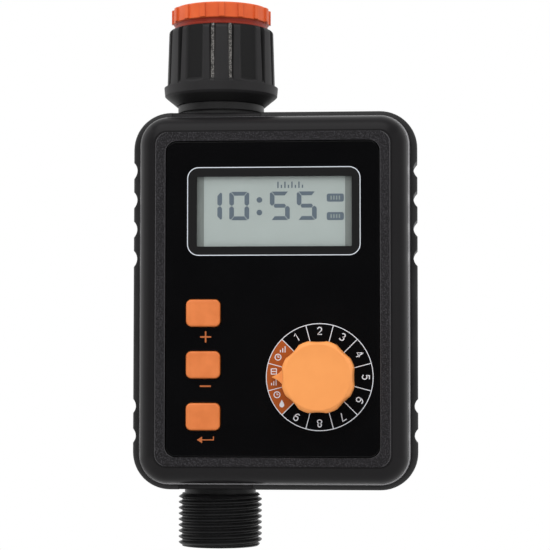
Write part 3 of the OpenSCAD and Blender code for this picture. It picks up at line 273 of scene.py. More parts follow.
def frontPlastic():
    look = frontLook
    mat, graph = newFinish("frontBlack")
    place = graph.place()
    across, depth, height = graph.split(place)
    border = depth < look["cut"]
    cloud = graph.noise(place, look["cloud"], cloudSet["detail"])
    grain = graph.noise(place, look["grain"])
    sparkle = graph.noise(place, look["sparkle"], look["sparkleDetail"])
    speck = graph.ramp(sparkle, look["speckLow"], look["speckHigh"])
    shoulder = graph.mixed(cloud, look["shoulderDark"], look["shoulderLight"])
    spotted = graph.mixed(speck, look["borderDark"], look["borderLight"])
    relief = grain * (1 - border) * look["grainShare"] + sparkle * border
    # painted highlight: the rim zone gets a pale base colour, stronger at the right and the foot, and a
    # lower roughness
    rim = graph.ramp(depth, look["rimStart"], look["rimEnd"])
    rim = rim * (1 - graph.ramp(depth, look["rimLast"], look["rimOut"]))
    right = graph.ramp(across, look["rimLeft"], look["rimRight"])
    foot = graph.ramp(height, look["rimWaist"], look["rimFoot"])
    rim = rim * (look["rimLeast"] + (1 - look["rimLeast"]) * (right + foot - right * foot))
    rough = look["shoulderRough"] + border * (look["borderRough"] - look["shoulderRough"])
    rough = rough + rim * (look["rimRough"] - look["shoulderRough"])
    # painted highlight: edges near the front whose rounded normal leans sideways get a pale base colour
    fine = graph.soft(look["edgeWidth"])
    plain = graph.node("NewGeometry", out="True Normal")
    bent = 1 - graph.node("VectorMath", {"operation": "DOT_PRODUCT"}, {0: fine, 1: plain}, out="Value")
    lean = graph.split(fine)[0].size()
    edge = graph.ramp(bent, *look["edgeBend"]) * graph.ramp(lean, *look["edgeLean"])
    edge = edge * (depth < look["edgeCut"])
    # the painted rim highlight is mixed into the base colour here
    body = graph.mixed(rim, graph.mixed(border, shoulder, spotted), look["rimHighlightPaint"])
    closeFinish(graph, {
        # the painted edge highlight is laid over the base colour
        "Base Color": graph.mixed(edge, body, look["edgeHighlightPaint"]),
        "Roughness": rough + grain.swing(look["spread"]),
        "Specular IOR Level": look["shine"],
        "Normal": graph.bump(relief, look["strength"], look["depth"], graph.soft(look["edge"])),
    })
    return mat


# the nut's hollows are painted darker than its ribs as painted shade, and two slots at the front have pale
# speckled floors as a painted highlight
nutLook = {"ribDark": rgb(0.0228, 0.022, 0.023), "ribLight": rgb(0.0292, 0.0282, 0.0295),
           # hollow is a painted shade colour for the hollows between the ribs
           "hollow": rgb(0.0125, 0.0123, 0.0127), "slotFloorHighlightDark": rgb(0.06, 0.058, 0.056),
           "slotFloorHighlightLight": rgb(0.34, 0.325, 0.31), "top": -0.007, "radius": 0.017, "taper": 0.027,
           "turn": -5.7, "slotAt": 0.00275, "slotHalf": 0.0005, "slotDepth": 0.00045, "slotFoot": -0.0246,
           "hollowStart": 0.00015, "hollowEnd": 0.00055, "cloud": 140.0, "speck": 2400.0, "speckDetail": 1.0,
           "speckLow": 0.40, "speckHigh": 0.72, "rough": 0.46, "spread": 0.1, "shine": 0.2, "grain": 3000.0,
           "strength": 0.14, "depth": 0.00004, "edge": 0.0002}


def nutPlastic():
    look = nutLook
    mat, graph = newFinish("nutBlack")
    place = graph.place()
    turn = (0.0, 0.0, math.radians(look["turn"]))
    x, y, z = graph.split(graph.node("Mapping", {}, {"Vector": place, "Rotation": turn}))
    flat = graph.node("Mapping", {}, {"Vector": place, "Scale": (1.0, 1.0, 0.0)})
    radius = graph.node("VectorMath", {"operation": "LENGTH"}, {0: flat}, out="Value")
    depth = look["radius"] + (look["top"] - z) * look["taper"] - radius
    # painted shade: the hollows between the ribs get a darker colour
    hollow = graph.ramp(depth, look["hollowStart"], look["hollowEnd"])
    # painted highlight: two slot floors at the front get a pale speckled colour
    beside = x.size() - look["slotAt"]
    slot = (beside.size() < look["slotHalf"]) * (y < 0)
    slot = slot * (depth > look["slotDepth"]) * (z > look["slotFoot"])
    cloud = graph.noise(place, look["cloud"], cloudSet["detail"])
    grain = graph.noise(place, look["grain"])
    speck = graph.noise(place, look["speck"], look["speckDetail"])
    speck = graph.ramp(speck, look["speckLow"], look["speckHigh"])
    rib = graph.mixed(cloud, look["ribDark"], look["ribLight"])
    # the painted highlight colour of the slot floors
    floor = graph.mixed(speck, look["slotFloorHighlightDark"], look["slotFloorHighlightLight"])
    closeFinish(graph, {
        "Base Color": graph.mixed(slot, graph.mixed(hollow, rib, look["hollow"]), floor),
        "Roughness": look["rough"] + grain.swing(look["spread"]),
        "Specular IOR Level": look["shine"],
        "Normal": graph.bump(grain, look["strength"], look["depth"], graph.soft(look["edge"])),
    })
    return mat


# the adapter's step under its head is painted much darker than the head, as painted shade under the head
adapterLook = {"dark": rgb(0.72, 0.105, 0.02), "light": rgb(0.80, 0.13, 0.028),
               # step is a painted shade colour for the step under the head
               "step": rgb(0.30, 0.022, 0.006), "cut": -0.0049, "cloud": 120.0, "rough": 0.38,
               "spread": 0.12, "shine": 0.35, "grain": 2600.0, "strength": 0.12, "depth": 0.00004,
               "edge": 0.0004}


def adapterPlastic():
    look = adapterLook
    mat, graph = newFinish("adapterOrange")
    place = graph.place()
    height = graph.split(place)[2]
    cloud = graph.noise(place, look["cloud"], cloudSet["detail"])
    grain = graph.noise(place, look["grain"])
    mottle = graph.ramp(cloud, cloudSet["low"], cloudSet["high"])
    head = graph.mixed(mottle, look["dark"], look["light"])
    closeFinish(graph, {
        # painted shade: below the cut the step takes a dark colour
        "Base Color": graph.mixed(height < look["cut"], head, look["step"]),
        "Roughness": look["rough"] + grain.swing(look["spread"]),
        "Specular IOR Level": look["shine"],
        "Normal": graph.bump(grain, look["strength"], look["depth"], graph.soft(look["edge"])),
    })
    return mat


# the panel and the window are polished, with faint smears and a little dust
smearSet = {"low": 0.4, "high": 0.8, "dustLow": 0.6, "dustHigh": 0.9}
panelLook = {"dark": rgb(0.0022, 0.0022, 0.0026), "light": rgb(0.0036, 0.0036, 0.004), "rough": 0.07,
             "smear": 70.0, "smearDetail": 4.0, "dust": 1800.0, "dull": 0.05, "strength": 0.02,
             "depth": 0.00002, "edge": 0.00028}


def panelGloss():
    look = panelLook
    mat, graph = newFinish("panelGloss")
    place = graph.place()
    smear = graph.noise(place, look["smear"], look["smearDetail"])
    dust = graph.noise(place, look["dust"])
    smeared = graph.ramp(smear, smearSet["low"], smearSet["high"])
    dusty = graph.ramp(dust, smearSet["dustLow"], smearSet["dustHigh"])
    closeFinish(graph, {
        "Base Color": graph.mixed(smear, look["dark"], look["light"]),
        "Roughness": look["rough"] + smeared * look["dull"] + dusty * look["dull"],
        "Normal": graph.bump(smear, look["strength"], look["depth"], graph.soft(look["edge"])),
    })
    return mat


windowLook = {"tint": rgb(0.02, 0.022, 0.022), "alpha": 0.05, "alphaSpread": 0.02, "rough": 0.05,
              "smear": 90.0, "dull": 0.04}


def windowClear():
    look = windowLook
    mat, graph = newFinish("windowClear")
    smear = graph.noise(graph.place(), look["smear"], cloudSet["detail"])
    smeared = graph.ramp(smear, smearSet["low"], smearSet["high"])
    closeFinish(graph, {
        "Base Color": look["tint"],
        "Roughness": look["rough"] + smeared * look["dull"],
        "Alpha": look["alpha"] + smear.swing(look["alphaSpread"]),
    })
    return mat


cellLooks = {
    "cellGlass": {"dark": rgb(0.22, 0.25, 0.238), "light": rgb(0.27, 0.305, 0.29), "rough": 0.35},
    "cellFilm": {"dark": rgb(0.46, 0.525, 0.505), "light": rgb(0.50, 0.57, 0.55), "rough": 0.42},
    "segmentGrey": {"dark": rgb(0.125, 0.168, 0.212), "light": rgb(0.145, 0.19, 0.236), "rough": 0.42},
    "tagGrey": {"dark": rgb(0.30, 0.36, 0.34), "light": rgb(0.34, 0.40, 0.38), "rough": 0.42},
}
cellSet = {"cloud": 130.0, "cloudShare": 0.6, "grain": 5200.0, "grainShare": 0.4, "spread": 0.1}


def cellFinish(name):
    look = cellLooks[name]
    mat, graph = newFinish(name)
    place = graph.place()
    cloud = graph.noise(place, cellSet["cloud"], cloudSet["detail"])
    grain = graph.noise(place, cellSet["grain"])
    mottle = cloud * cellSet["cloudShare"] + grain * cellSet["grainShare"]
    closeFinish(graph, {
        "Base Color": graph.mixed(mottle, look["dark"], look["light"]),
        "Roughness": look["rough"] + grain.swing(cellSet["spread"]),
    })
    return mat


inkLooks = {
    "inkWhite": {"dark": rgb(0.69, 0.73, 0.79), "light": rgb(0.78, 0.825, 0.89), "rough": 0.5},
    "inkOrange": {"dark": rgb(0.47, 0.13, 0.035), "light": rgb(0.54, 0.15, 0.042), "rough": 0.5},
    "inkBrown": {"dark": rgb(0.37, 0.078, 0.005), "light": rgb(0.42, 0.09, 0.007), "rough": 0.5},
    "inkMask": {"dark": rgb(0.0062, 0.0062, 0.0065), "light": rgb(0.0082, 0.0082, 0.0085), "rough": 0.6},
}
inkSet = {"mesh": 3800.0, "spread": 0.16, "shine": 0.25, "strength": 0.1, "depth": 0.00001}


def ink(name):
    look = inkLooks[name]
    mat, graph = newFinish(name)
    mesh = graph.noise(graph.place(), inkSet["mesh"])
    plain = graph.node("NewGeometry", out="Normal")
    closeFinish(graph, {
        "Base Color": graph.mixed(mesh, look["dark"], look["light"]),
        "Roughness": look["rough"] + mesh.swing(inkSet["spread"]),
        "Specular IOR Level": inkSet["shine"],
        "Normal": graph.bump(mesh, inkSet["strength"], inkSet["depth"], plain),
    })
    return mat


# a battery cell has a plain sleeve in two colours
sleeveLook = {"body": rgb(0.03, 0.035, 0.045), "band": rgb(0.55, 0.23, 0.07), "split": -0.1053,
              "cloud": 200.0, "rough": 0.3, "spread": 0.16, "edge": 0.0003}


def sleeve():
    look = sleeveLook
    mat, graph = newFinish("cellSleeve")
    place = graph.place()
    height = graph.split(place)[2]
    cloud = graph.noise(place, look["cloud"], cloudSet["detail"])
    closeFinish(graph, {
        "Base Color": graph.mixed(height > look["split"], look["body"], look["band"]),
        "Roughness": look["rough"] + cloud.swing(look["spread"]),
        "Normal": graph.soft(look["edge"]),
    })
    return mat


finishes = {name: plastic(name) for name in plasticLooks}
finishes.update({name: metal(name) for name in metalLooks})
finishes.update({name: cellFinish(name) for name in cellLooks})
finishes.update({name: ink(name) for name in inkLooks})
finishes["frontBlack"] = frontPlastic()
finishes["nutBlack"] = nutPlastic()
finishes["adapterOrange"] = adapterPlastic()
finishes["panelGloss"] = panelGloss()
finishes["windowClear"] = windowClear()
finishes["cellSleeve"] = sleeve()
print("finishes made:", len(finishes))

# every CAD node takes a finish from its slot, and some have one of their own
slotFinish = {
    "shell_plastic": "shellBlack", "panel_gloss": "panelGloss", "window_clear": "windowClear",
    "display_cell": "cellGlass", "natural_plastic": "naturalWhite", "board": "boardGreen",
    "key_orange": "keyOrange", "dial_orange": "dialOrange", "adapter_orange": "adapterOrange",
    "dome_rubber": "domeClear", "seal_rubber": "sealBlack", "screw_steel": "zincSteel",
    "cell_steel": "cellSteel", "ball_steel": "ballChrome", "stem_brass": "turnedBrass",
}
ownFinish = {"front_shell": "frontBlack", "rear_shell": "tubBlack", "battery_cover": "tubBlack",
             "swivel_nut": "nutBlack", "battery_cells": "cellSleeve"}

for subpart in frame["record"]["subparts"]:
    node = nodes[subpart["node"]]
    name = ownFinish.get(node.name, slotFinish[subpart["material_slot"]])
    node.data.materials.clear()
    node.data.materials.append(finishes[name])
print("nodes finished:", len(nodes))


# mesh helpers

meshSet = {"sharp": math.radians(32), "weld": 1e-6, "sliver": 1e-7}


def addPiece(name, verts, faces, finish, body, smooth=True):
    mesh = bpy.data.meshes.new(name)
    mesh.from_pydata([tuple(v) for v in verts], [], faces)
    work = bmesh.new()
    work.from_mesh(mesh)
    bmesh.ops.remove_doubles(work, verts=work.verts, dist=meshSet["weld"])
    bmesh.ops.dissolve_degenerate(work, edges=work.edges, dist=meshSet["sliver"])
    bmesh.ops.recalc_face_normals(work, faces=work.faces)
    work.to_mesh(mesh)
    work.free()
    if smooth:
        mesh.shade_smooth()
        mesh.set_sharp_from_angle(angle=meshSet["sharp"])
    mesh.materials.append(finishes[finish])
    piece = bpy.data.objects.new(name, mesh)
    scene.collection.objects.link(piece)
    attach(piece, body)
    return piece


def joinRings(rings, count):
    # quads between neighbouring rings of count points each
    faces = []
    for low in range(0, count * (len(rings) - 1), count):
        high = low + count
        for i in range(count):
            j = (i + 1) % count
            faces.append((low + i, low + j, high + j, high + i))
    return faces


def cappedRings(rings, count):
    # a closed skin over the rings, with a flat face at both ends
    verts = [p for ring in rings for p in ring]
    faces = joinRings(rings, count)
    faces.append(tuple(range(count)))
    faces.append(tuple(range(len(verts) - count, len(verts))))
    return verts, faces


def roundTurn(count):
    # cosine and sine at even steps round a full turn
    angles = [math.tau * i / count for i in range(count)]
    return [(math.cos(a), math.sin(a)) for a in angles]


class Print:
    # flat printed forms on the face, gathered into one thin piece
    mitre = 1.1  # keeps the corner of a stroke short where it folds back

    def __init__(self, low, high):
        self.low = low
        self.high = high
        self.verts = []
        self.faces = []

    def levels(self, points):
        start = len(self.verts)
        for w in (self.low, self.high):
            self.verts.extend(onFace(u, v, w) for u, v in points)
        return start, start + len(points)

    def fill(self, points):
        low, high = self.levels(points)
        count = len(points)
        self.faces.append([high + i for i in range(count)])
        self.faces.append([low + i for i in reversed(range(count))])
        for i in range(count):
            j = (i + 1) % count
            self.faces.append((low + i, low + j, high + j, high + i))

    def band(self, outer, inner):
        count = len(outer)
        outLow, outHigh = self.levels(outer)
        inLow, inHigh = self.levels(inner)
        for i in range(count):
            j = (i + 1) % count
            self.faces.append((outHigh + i, outHigh + j, inHigh + j, inHigh + i))
            self.faces.append((outLow + j, outLow + i, inLow + i, inLow + j))
            self.faces.append((outLow + i, outLow + j, outHigh + j, outHigh + i))
            self.faces.append((inLow + j, inLow + i, inHigh + i, inHigh + j))

    def bar(self, start, end, width):
        a = Vector(start)
        b = Vector(end)
        side = (b - a).orthogonal().normalized() * width / 2
        self.fill([tuple(a - side), tuple(b - side), tuple(b + side), tuple(a + side)])

    def ribbon(self, points, width):
        # a stroke of even width along a line of points
        left = []
        right = []
        for i, (u, v) in enumerate(points):
            normals = []
            for a, b in ((i - 1, i), (i, i + 1)):
                if a >= 0 and b < len(points):
                    run = Vector(points[b]) - Vector(points[a])
                    normals.append(Vector((-run.y, run.x)).normalized())
            side = normals[0] + normals[-1]
            side *= width / max(self.mitre, 1 + normals[0].dot(normals[-1])) / 2
            left.append((u + side.x, v + side.y))
            right.append((u - side.x, v - side.y))
        self.fill(left + right[::-1])

    def piece(self, name, finish, body, slot):
        return addPiece(name, self.verts, self.faces, finish, body, smooth=False)


def bend(u, v, width, height, start, end, steps=12):
    # points along an oval, from one angle to another
    points = []
    for k in range(steps + 1):
        a = math.radians(start + (end - start) * k / steps)
        points.append((u + width * math.cos(a), v + height * math.sin(a)))
    return points


def roundedLoop(u, v, width, height, radius, steps=8):
    points = []
    for q, (su, sv) in enumerate(((1, 1), (-1, 1), (-1, -1), (1, -1))):
        cu = u + su * (width / 2 - radius)
        cv = v + sv * (height / 2 - radius)
        points += bend(cu, cv, radius, radius, 90 * q, 90 * q + 90, steps)
    return points


def roundedBox(left, right, low, high, radius, steps):
    return roundedLoop((left + right) / 2, (low + high) / 2, right - left, high - low, radius, steps)


def circleLoop(u, v, radius, steps=96):
    return [(u + radius * c, v + radius * s) for c, s in roundTurn(steps)]


# camera at the photograph's viewing angle

cameraSet = {"place": Vector((0.060, -0.6, -0.11786)), "yaw": 4.06, "pitch": 3.07, "roll": 0.035,
             "focalPixels": 1882.2, "framePixels": 550, "sensor": 36.0, "near": 0.01}


def addCamera():
    yaw = math.radians(cameraSet["yaw"])
    pitch = math.radians(cameraSet["pitch"])
    forward = Vector((-math.sin(yaw) * math.cos(pitch), math.cos(yaw) * math.cos(pitch), math.sin(pitch)))
    right = Vector((math.cos(yaw), math.sin(yaw), 0.0))
    up = right.cross(forward)
    turn = Matrix.Rotation(math.radians(-cameraSet["roll"]), 3, forward)
    right = turn @ right
    up = turn @ up
    data = bpy.data.cameras.new("frontCamera")
    data.sensor_width = cameraSet["sensor"]
    data.lens = cameraSet["focalPixels"] / cameraSet["framePixels"] * cameraSet["sensor"]
    data.clip_start = cameraSet["near"]
    camera = bpy.data.objects.new("frontCamera", data)
    basis = Matrix((right, up, -forward)).transposed()
    camera.matrix_world = Matrix.Translation(cameraSet["place"]) @ basis.to_4x4()
    scene.collection.objects.link(camera)
    scene.camera = camera


addCamera()
print("camera placed")

# screw threads as real helical surfaces

threadSet = {"around": 96, "rows": 12, "crest": 0.2, "root": 0.2}


def threadWave(turn):
    # 0 at the root and 1 at the crest over one pitch
    share = turn % 1.0
    flank = (1 - threadSet["crest"] - threadSet["root"]) / 2
    if share < threadSet["crest"]:
        return 1.0
    if share < threadSet["crest"] + flank:
        return 1 - (share - threadSet["crest"]) / flank
    if share < threadSet["crest"] + flank + threadSet["root"]:
        return 0.0
    return (share - threadSet["crest"] - flank - threadSet["root"]) / flank


def threadSurface(top, foot, pitch, radiusAt):
    # columns of points that follow the helix, cut level at both ends
    around = threadSet["around"]
    rows = threadSet["rows"]
    step = pitch / rows
    count = int((top - foot) / step) + rows + 2
    columns = []
    for i, (c, s) in enumerate(roundTurn(around)):
        column = []
        for k in range(count + 1):
            z = min(top, max(foot, top + pitch * i / around - k * step))
            r = radiusAt(z, threadWave((top - z) / pitch + i / around))
            column.append((r * c * mm, r * s * mm, z * mm))
        columns.append(column)
    verts = [p for column in columns for p in column]
    faces = []
    for i in range(around):
        j = (i + 1) % around
        shift = rows if j == 0 else 0
        for k in range(count):
            low = max(0, k - shift)
            high = max(0, k + 1 - shift)
            here = i * (count + 1) + k
            there = j * (count + 1)
            faces.append((here, here + 1, there + high, there + low))
    return verts, faces, columns


def ringPoints(radius, z):
    return [(radius * c * mm, radius * s * mm, z * mm) for c, s in roundTurn(threadSet["around"])]


def threadedTube(above, below, top, foot, pitch, radiusAt):
    # the thread, then turned rings from its foot up through the bore and back to its top
    verts, faces, columns = threadSurface(top, foot, pitch, radiusAt)
    firstRing = [column[0] for column in columns]
    lastRing = [column[-1] for column in columns]
    rings = [lastRing] + [ringPoints(r, z) for r, z in below + above] + [firstRing]
    start = len(verts)
    verts = verts + [p for ring in rings for p in ring]
    for corners in joinRings(rings, threadSet["around"]):
        faces.append(tuple(start + i for i in corners))
    return verts, faces


outletSet = {"top": -155.0, "foot": -171.6, "crest": 13.22, "root": 12.1, "pitch": 1.814, "chamfer": 1.1,
             "above": [(10.55, -84.35), (10.55, -87.85), (13.6, -87.85), (13.6, -90.85), (11.3, -90.85),
                       (11.3, -145.25), (13.2, -145.25), (13.2, -147.75), (11.3, -147.75), (11.3, -148.45),
                       (10.1, -148.45), (10.1, -150.85), (11.3, -150.85), (11.3, -155.0)],
             "below": [(9.6, -171.6), (8.6, -171.0), (7.0, -171.0), (7.0, -84.35)]}


def outletRadius(z, wave):
    r = outletSet["root"] + (outletSet["crest"] - outletSet["root"]) * wave
    lead = outletSet["crest"] - outletSet["chamfer"] + (z - outletSet["foot"])
    out = outletSet["crest"] - outletSet["chamfer"] + (outletSet["top"] - z)
    return min(r, lead, out)


verts, faces = threadedTube(outletSet["above"], outletSet["below"], outletSet["top"], outletSet["foot"],
                            outletSet["pitch"], outletRadius)
outlet = addPiece("outletThread", verts, faces, "outletBlack", "housing")
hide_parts("outlet_spigot")

tapSet = {"top": -0.7, "foot": -10.6, "crest": 9.45, "root": 10.4, "pitch": 1.814, "skin": 10.47,
          "lead": 1.2}


def tapRadius(z, wave):
    r = tapSet["root"] + (tapSet["crest"] - tapSet["root"]) * wave
    lead = tapSet["root"] - max(0.0, tapSet["top"] - z) * tapSet["lead"]
    return max(r, lead)


verts, faces = threadedTube([(tapSet["skin"], tapSet["top"])], [(tapSet["skin"], tapSet["foot"])],
                            tapSet["top"], tapSet["foot"], tapSet["pitch"], tapRadius)
addPiece("tapThread", verts, faces, "adapterOrange", "adapter")
print("threads cut")

# the rubber domes under the keys

domeSet = {"around": 48, "keep": 0.62, "keys": ("plus", "minus", "enter"),
           "skin": [(0.3, 2.2), (1.7, 2.2), (1.92, 2.14), (2.08, 2.0), (3.42, 0.68), (3.56, 0.6),
                    (3.88, 0.6), (4.0, 0.5), (4.0, 0.0), (3.0, 0.0), (1.55, 1.16), (1.4, 1.2), (0.3, 1.2)]}


def addDome(key):
    low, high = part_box("key_dome_" + key)
    u = (low[0] + high[0]) / 2
    v = (low[2] + high[2]) / 2
    board = high[1]
    around = domeSet["around"]
    rings = []
    for radius, rise in domeSet["skin"]:
        reach = radius * mm
        rings.append([(u + reach * c, board - rise * mm, v + reach * s) for c, s in roundTurn(around)])
    verts, faces = cappedRings(rings, around)
    dome = addPiece(key + "Dome", verts, faces, "domeClear", "housing")
    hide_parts("key_dome_" + key)
    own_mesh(dome)


for key in domeSet["keys"]:
    addDome(key)
print("domes under the keys:", len(domeSet["keys"]))

# the dial's grip: eight lobes whose hollows run up to a round front face, and a flared pointer

gripSet = {"axis": (14.3, -24.1), "around": 240, "lobes": 8, "hollow": 14.3, "bore": 3.1, "boreTop": 7.6,
           "middle": 0.3,
           "rings": [(0.0, 11.12, 10.66), (0.2, 11.26, 10.78), (8.1, 11.16, 10.52), (8.75, 11.1, 10.48),
                     (9.2, 10.94, 10.43), (9.5, 10.7, 10.36), (9.68, 10.42, 10.26), (9.8, 10.22, 10.18),
                     (9.92, 10.1, 10.1), (9.99, 9.98, 9.98), (10.0, 9.84, 9.84), (9.96, 9.6, 9.6),
                     (9.93, 9.2, 9.2), (9.9, 6.0, 6.0), (9.9, 0.3, 0.3)],
           "pointer": [(14.2, 0.1), (13.7, 0.34), (13.0, 0.66), (12.3, 1.04), (11.7, 1.5), (11.2, 2.05),
                       (10.8, 2.6), (9.6, 2.6)],
           "pointerRoot": 3.2, "pointerTip": 2.5}


def gripRing(foot, rise, lobe, hollow):
    # a ring of lobes at one rise over the foot, round where lobe and hollow are the same
    ring = []
    u, v = gripSet["axis"]
    around = gripSet["around"]
    pitch = 360.0 / gripSet["lobes"]
    for i, (c, s) in enumerate(roundTurn(around)):
        away = abs((360.0 * i / around + pitch / 2) % pitch - pitch / 2)
        share = min(1.0, (away / gripSet["hollow"]) ** 2)
        radius = hollow + (lobe - hollow) * share
        ring.append(onFace(u + radius * c, v + radius * s, foot + rise))
    return ring


def addGrip():
    foot = -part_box("dial_knob")[1][1] / mm
    boreTop = gripSet["boreTop"]
    bore = gripSet["bore"]
    middle = gripSet["middle"]
    stations = [(boreTop, middle, middle), (boreTop, bore, bore), (0.0, bore, bore)] + gripSet["rings"]
    verts, faces = cappedRings([gripRing(foot, *station) for station in stations], gripSet["around"])
    grip = addPiece("dialGrip", verts, faces, "dialOrange", "dial")
    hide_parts("dial_knob")
    u, v = gripSet["axis"]
    edge = [(-reach, half) for reach, half in gripSet["pointer"]]
    edge = edge + [(-reach, -half) for reach, half in reversed(gripSet["pointer"])]
    tip = gripSet["pointer"][0][0]
    root = gripSet["pointer"][-1][0]
    fall = (gripSet["pointerRoot"] - gripSet["pointerTip"]) / (tip - root)
    top = foot + gripSet["pointerRoot"]
    lower = [onFace(u + a, v + b, foot) for a, b in edge]
    upper = [onFace(u + a, v + b, top - fall * (-a - root)) for a, b in edge]
    verts, faces = cappedRings([lower, upper], len(edge))
    addPiece("dialPointer", verts, faces, "dialOrange", "dial")


addGrip()
print("dial grip made")

# the display: a film on the cell and its segments

displaySet = {"film": (-21.2, 22.33, 15.2, 38.4), "filmRadius": 0.2, "filmSteps": 3, "filmTop": 24.13,
              "inkTop": 24.16, "digitFoot": 24.15, "digitHeight": 8.8, "digitWidth": 6.16, "stroke": 1.45,
              "bridge": 1.2, "gap": 0.1, "corner": 0.34, "notch": 0.62, "inset": 0.8,
              "digits": [(-21.76, "bc"), (-13.37, "abcdef"), (-0.84, "acdfg"), (7.46, "acdfg")],
              "dots": [(-4.06, 30.4), (-4.06, 26.5)], "dotRadius": 0.88, "dotSteps": 24,
              "tags": [(16.68, 21.96, 29.73, 32.22), (16.68, 21.96, 24.06, 26.52)], "tagRadius": 0.6,
              "tagSteps": 4}


def segmentShapes(left):
    # the strokes of a digit: a at the top, then b to f clockwise, and g in the middle
    foot = displaySet["digitFoot"]
    stroke = displaySet["stroke"]
    bridge = displaySet["bridge"]
    gap = displaySet["gap"]
    right = left + displaySet["digitWidth"]
    top = foot + displaySet["digitHeight"]
    middle = foot + displaySet["digitHeight"] / 2
    cut = stroke * displaySet["corner"]
    notch = stroke * displaySet["notch"]
    inset = stroke * displaySet["inset"]
    half = bridge / 2
    slant = bridge + gap
    return {
        "a": [(left + cut + gap, top), (right - cut - gap, top), (right - stroke - gap, top - bridge),
              (left + stroke + gap, top - bridge)],
        "d": [(left + cut + gap, foot), (right - cut - gap, foot), (right - stroke - gap, foot + bridge),
              (left + stroke + gap, foot + bridge)],
        "f": [(left, middle + half + gap), (left + cut, middle + gap), (left + notch, middle + gap),
              (left + stroke, middle + half), (left + stroke, top - slant), (left + cut, top - gap * 2),
              (left, top - cut)],
        "b": [(right - stroke, middle + half), (right - notch, middle + gap),
              (right - cut, middle + gap), (right, middle + half + gap), (right, top - cut),
              (right - cut, top - gap * 2), (right - stroke, top - slant)],
        "e": [(left, foot + cut), (left + cut, foot + gap * 2), (left + stroke, foot + slant),
              (left + stroke, middle - half), (left + notch, middle - gap),
              (left + cut, middle - gap), (left, middle - half - gap)],
        "c": [(right - stroke, foot + slant), (right - cut, foot + gap * 2), (right, foot + cut),
              (right, middle - half - gap), (right - cut, middle - gap),
              (right - notch, middle - gap), (right - stroke, middle - half)],
        "g": [(left + inset, middle), (left + stroke + gap, middle - half),
              (right - stroke - gap, middle - half), (right - inset, middle),
              (right - stroke - gap, middle + half), (left + stroke + gap, middle + half)],
    }


def addDisplay():
    film = Print(face["cell"], displaySet["filmTop"])
    film.fill(roundedBox(*displaySet["film"], displaySet["filmRadius"], displaySet["filmSteps"]))
    film.piece("displayFilm", "cellFilm", "housing", "display_cell")
    marks = Print(displaySet["filmTop"], displaySet["inkTop"])
    for left, lit in displaySet["digits"]:
        shapes = segmentShapes(left)
        for letter in lit:
            marks.fill(shapes[letter])
    for u, v in displaySet["dots"]:
        marks.fill(circleLoop(u, v, displaySet["dotRadius"], displaySet["dotSteps"]))
    for tag in displaySet["tags"]:
        marks.fill(roundedBox(*tag, displaySet["tagRadius"], displaySet["tagSteps"]))
    marks.piece("displaySegments", "segmentGrey", "housing", "display_cell")


# plain bars in the two tags, and a row of ticks over the digits
tagSet = {"bars": 4, "first": 0.26, "step": 0.16, "inset": 0.65, "width": 0.4, "raise": 0.02}
tickSet = {"box": (1.13, 9.76, 34.04, 35.99), "count": 8, "short": 0.5, "width": 0.42}


def addDisplaySigns():
    signs = Print(displaySet["inkTop"], displaySet["inkTop"] + tagSet["raise"])
    for left, right, low, high in displaySet["tags"]:
        for k in range(tagSet["bars"]):
            u = left + (right - left) * (tagSet["first"] + tagSet["step"] * k)
            signs.bar((u, low + tagSet["inset"]), (u, high - tagSet["inset"]), tagSet["width"])
    signs.piece("displayTagSigns", "tagGrey", "housing", "display_cell")
    left, right, low, high = tickSet["box"]
    ticks = Print(displaySet["filmTop"], displaySet["inkTop"])
    for k in range(tickSet["count"]):
        u = left + (right - left) * (k + 0.5) / tickSet["count"]
        tall = tickSet["short"] if k % 2 else 1.0
        ticks.bar((u, low), (u, low + (high - low) * tall), tickSet["width"])
    ticks.piece("displayTicks", "segmentGrey", "housing", "display_cell")


addDisplay()
addDisplaySigns()

# the printed border of the display

printSet = {"raise": 0.04, "maskRaise": 0.02, "frame": (0.41, 26.83, 53.35, 27.33), "frameRadius": 3.5,
            "line": 0.25, "window": (0.56, 26.77, 47.7, 21.55), "windowRadius": 0.4}


def addDisplayFrame():
    u, v, width, height = printSet["frame"]
    line = printSet["line"]
    radius = printSet["frameRadius"]
    low = face["panel"]
    inside = roundedLoop(u, v, width - 2 * line, height - 2 * line, radius - line)
    frameLine = Print(low, low + printSet["raise"])
    frameLine.band(roundedLoop(u, v, width, height, radius), inside)
    frameLine.piece("displayFrameLine", "inkWhite", "housing", "panel_gloss")
    mask = Print(low, low + printSet["maskRaise"])
    mask.band(inside, roundedLoop(*printSet["window"], printSet["windowRadius"]))
    mask.piece("displayMask", "inkMask", "housing", "panel_gloss")


addDisplayFrame()
print("display made")

# signs under the keys

signSet = {"plus": (-20.46, -11.79), "minus": (-20.53, -26.88), "arrow": (-20.45, -43.17), "reach": 1.7,
           "stroke": 0.46, "minusStroke": 0.48,
           "arrowShape": [(-2.65, -0.1), (-1.0, -1.1), (-1.0, -0.26), (2.62, -0.26), (2.62, 0.95),
                          (2.3, 0.95), (2.3, 0.06), (-1.0, 0.06), (-1.0, 0.9)]}


def addSigns():
    low = face["panel"]
    signs = Print(low, low + printSet["raise"])
    u, v = signSet["plus"]
    reach = signSet["reach"]
    half = signSet["stroke"] / 2
    arm = [(reach, -half), (reach, half), (half, half)]
    cross = []
    for c, s in ((1, 0), (0, 1), (-1, 0), (0, -1)):
        cross += [(u + c * a - s * b, v + s * a + c * b) for a, b in arm]
    signs.fill(cross)
    u, v = signSet["minus"]
    signs.bar((u - reach, v), (u + reach, v), signSet["minusStroke"])
    u, v = signSet["arrow"]
    signs.fill([(u + a, v + b) for a, b in signSet["arrowShape"]])
    signs.piece("keySigns", "inkOrange", "housing", "panel_gloss")


addSigns()

# the printed dial: a ring with twelve sectors, nine numbers and plain signs

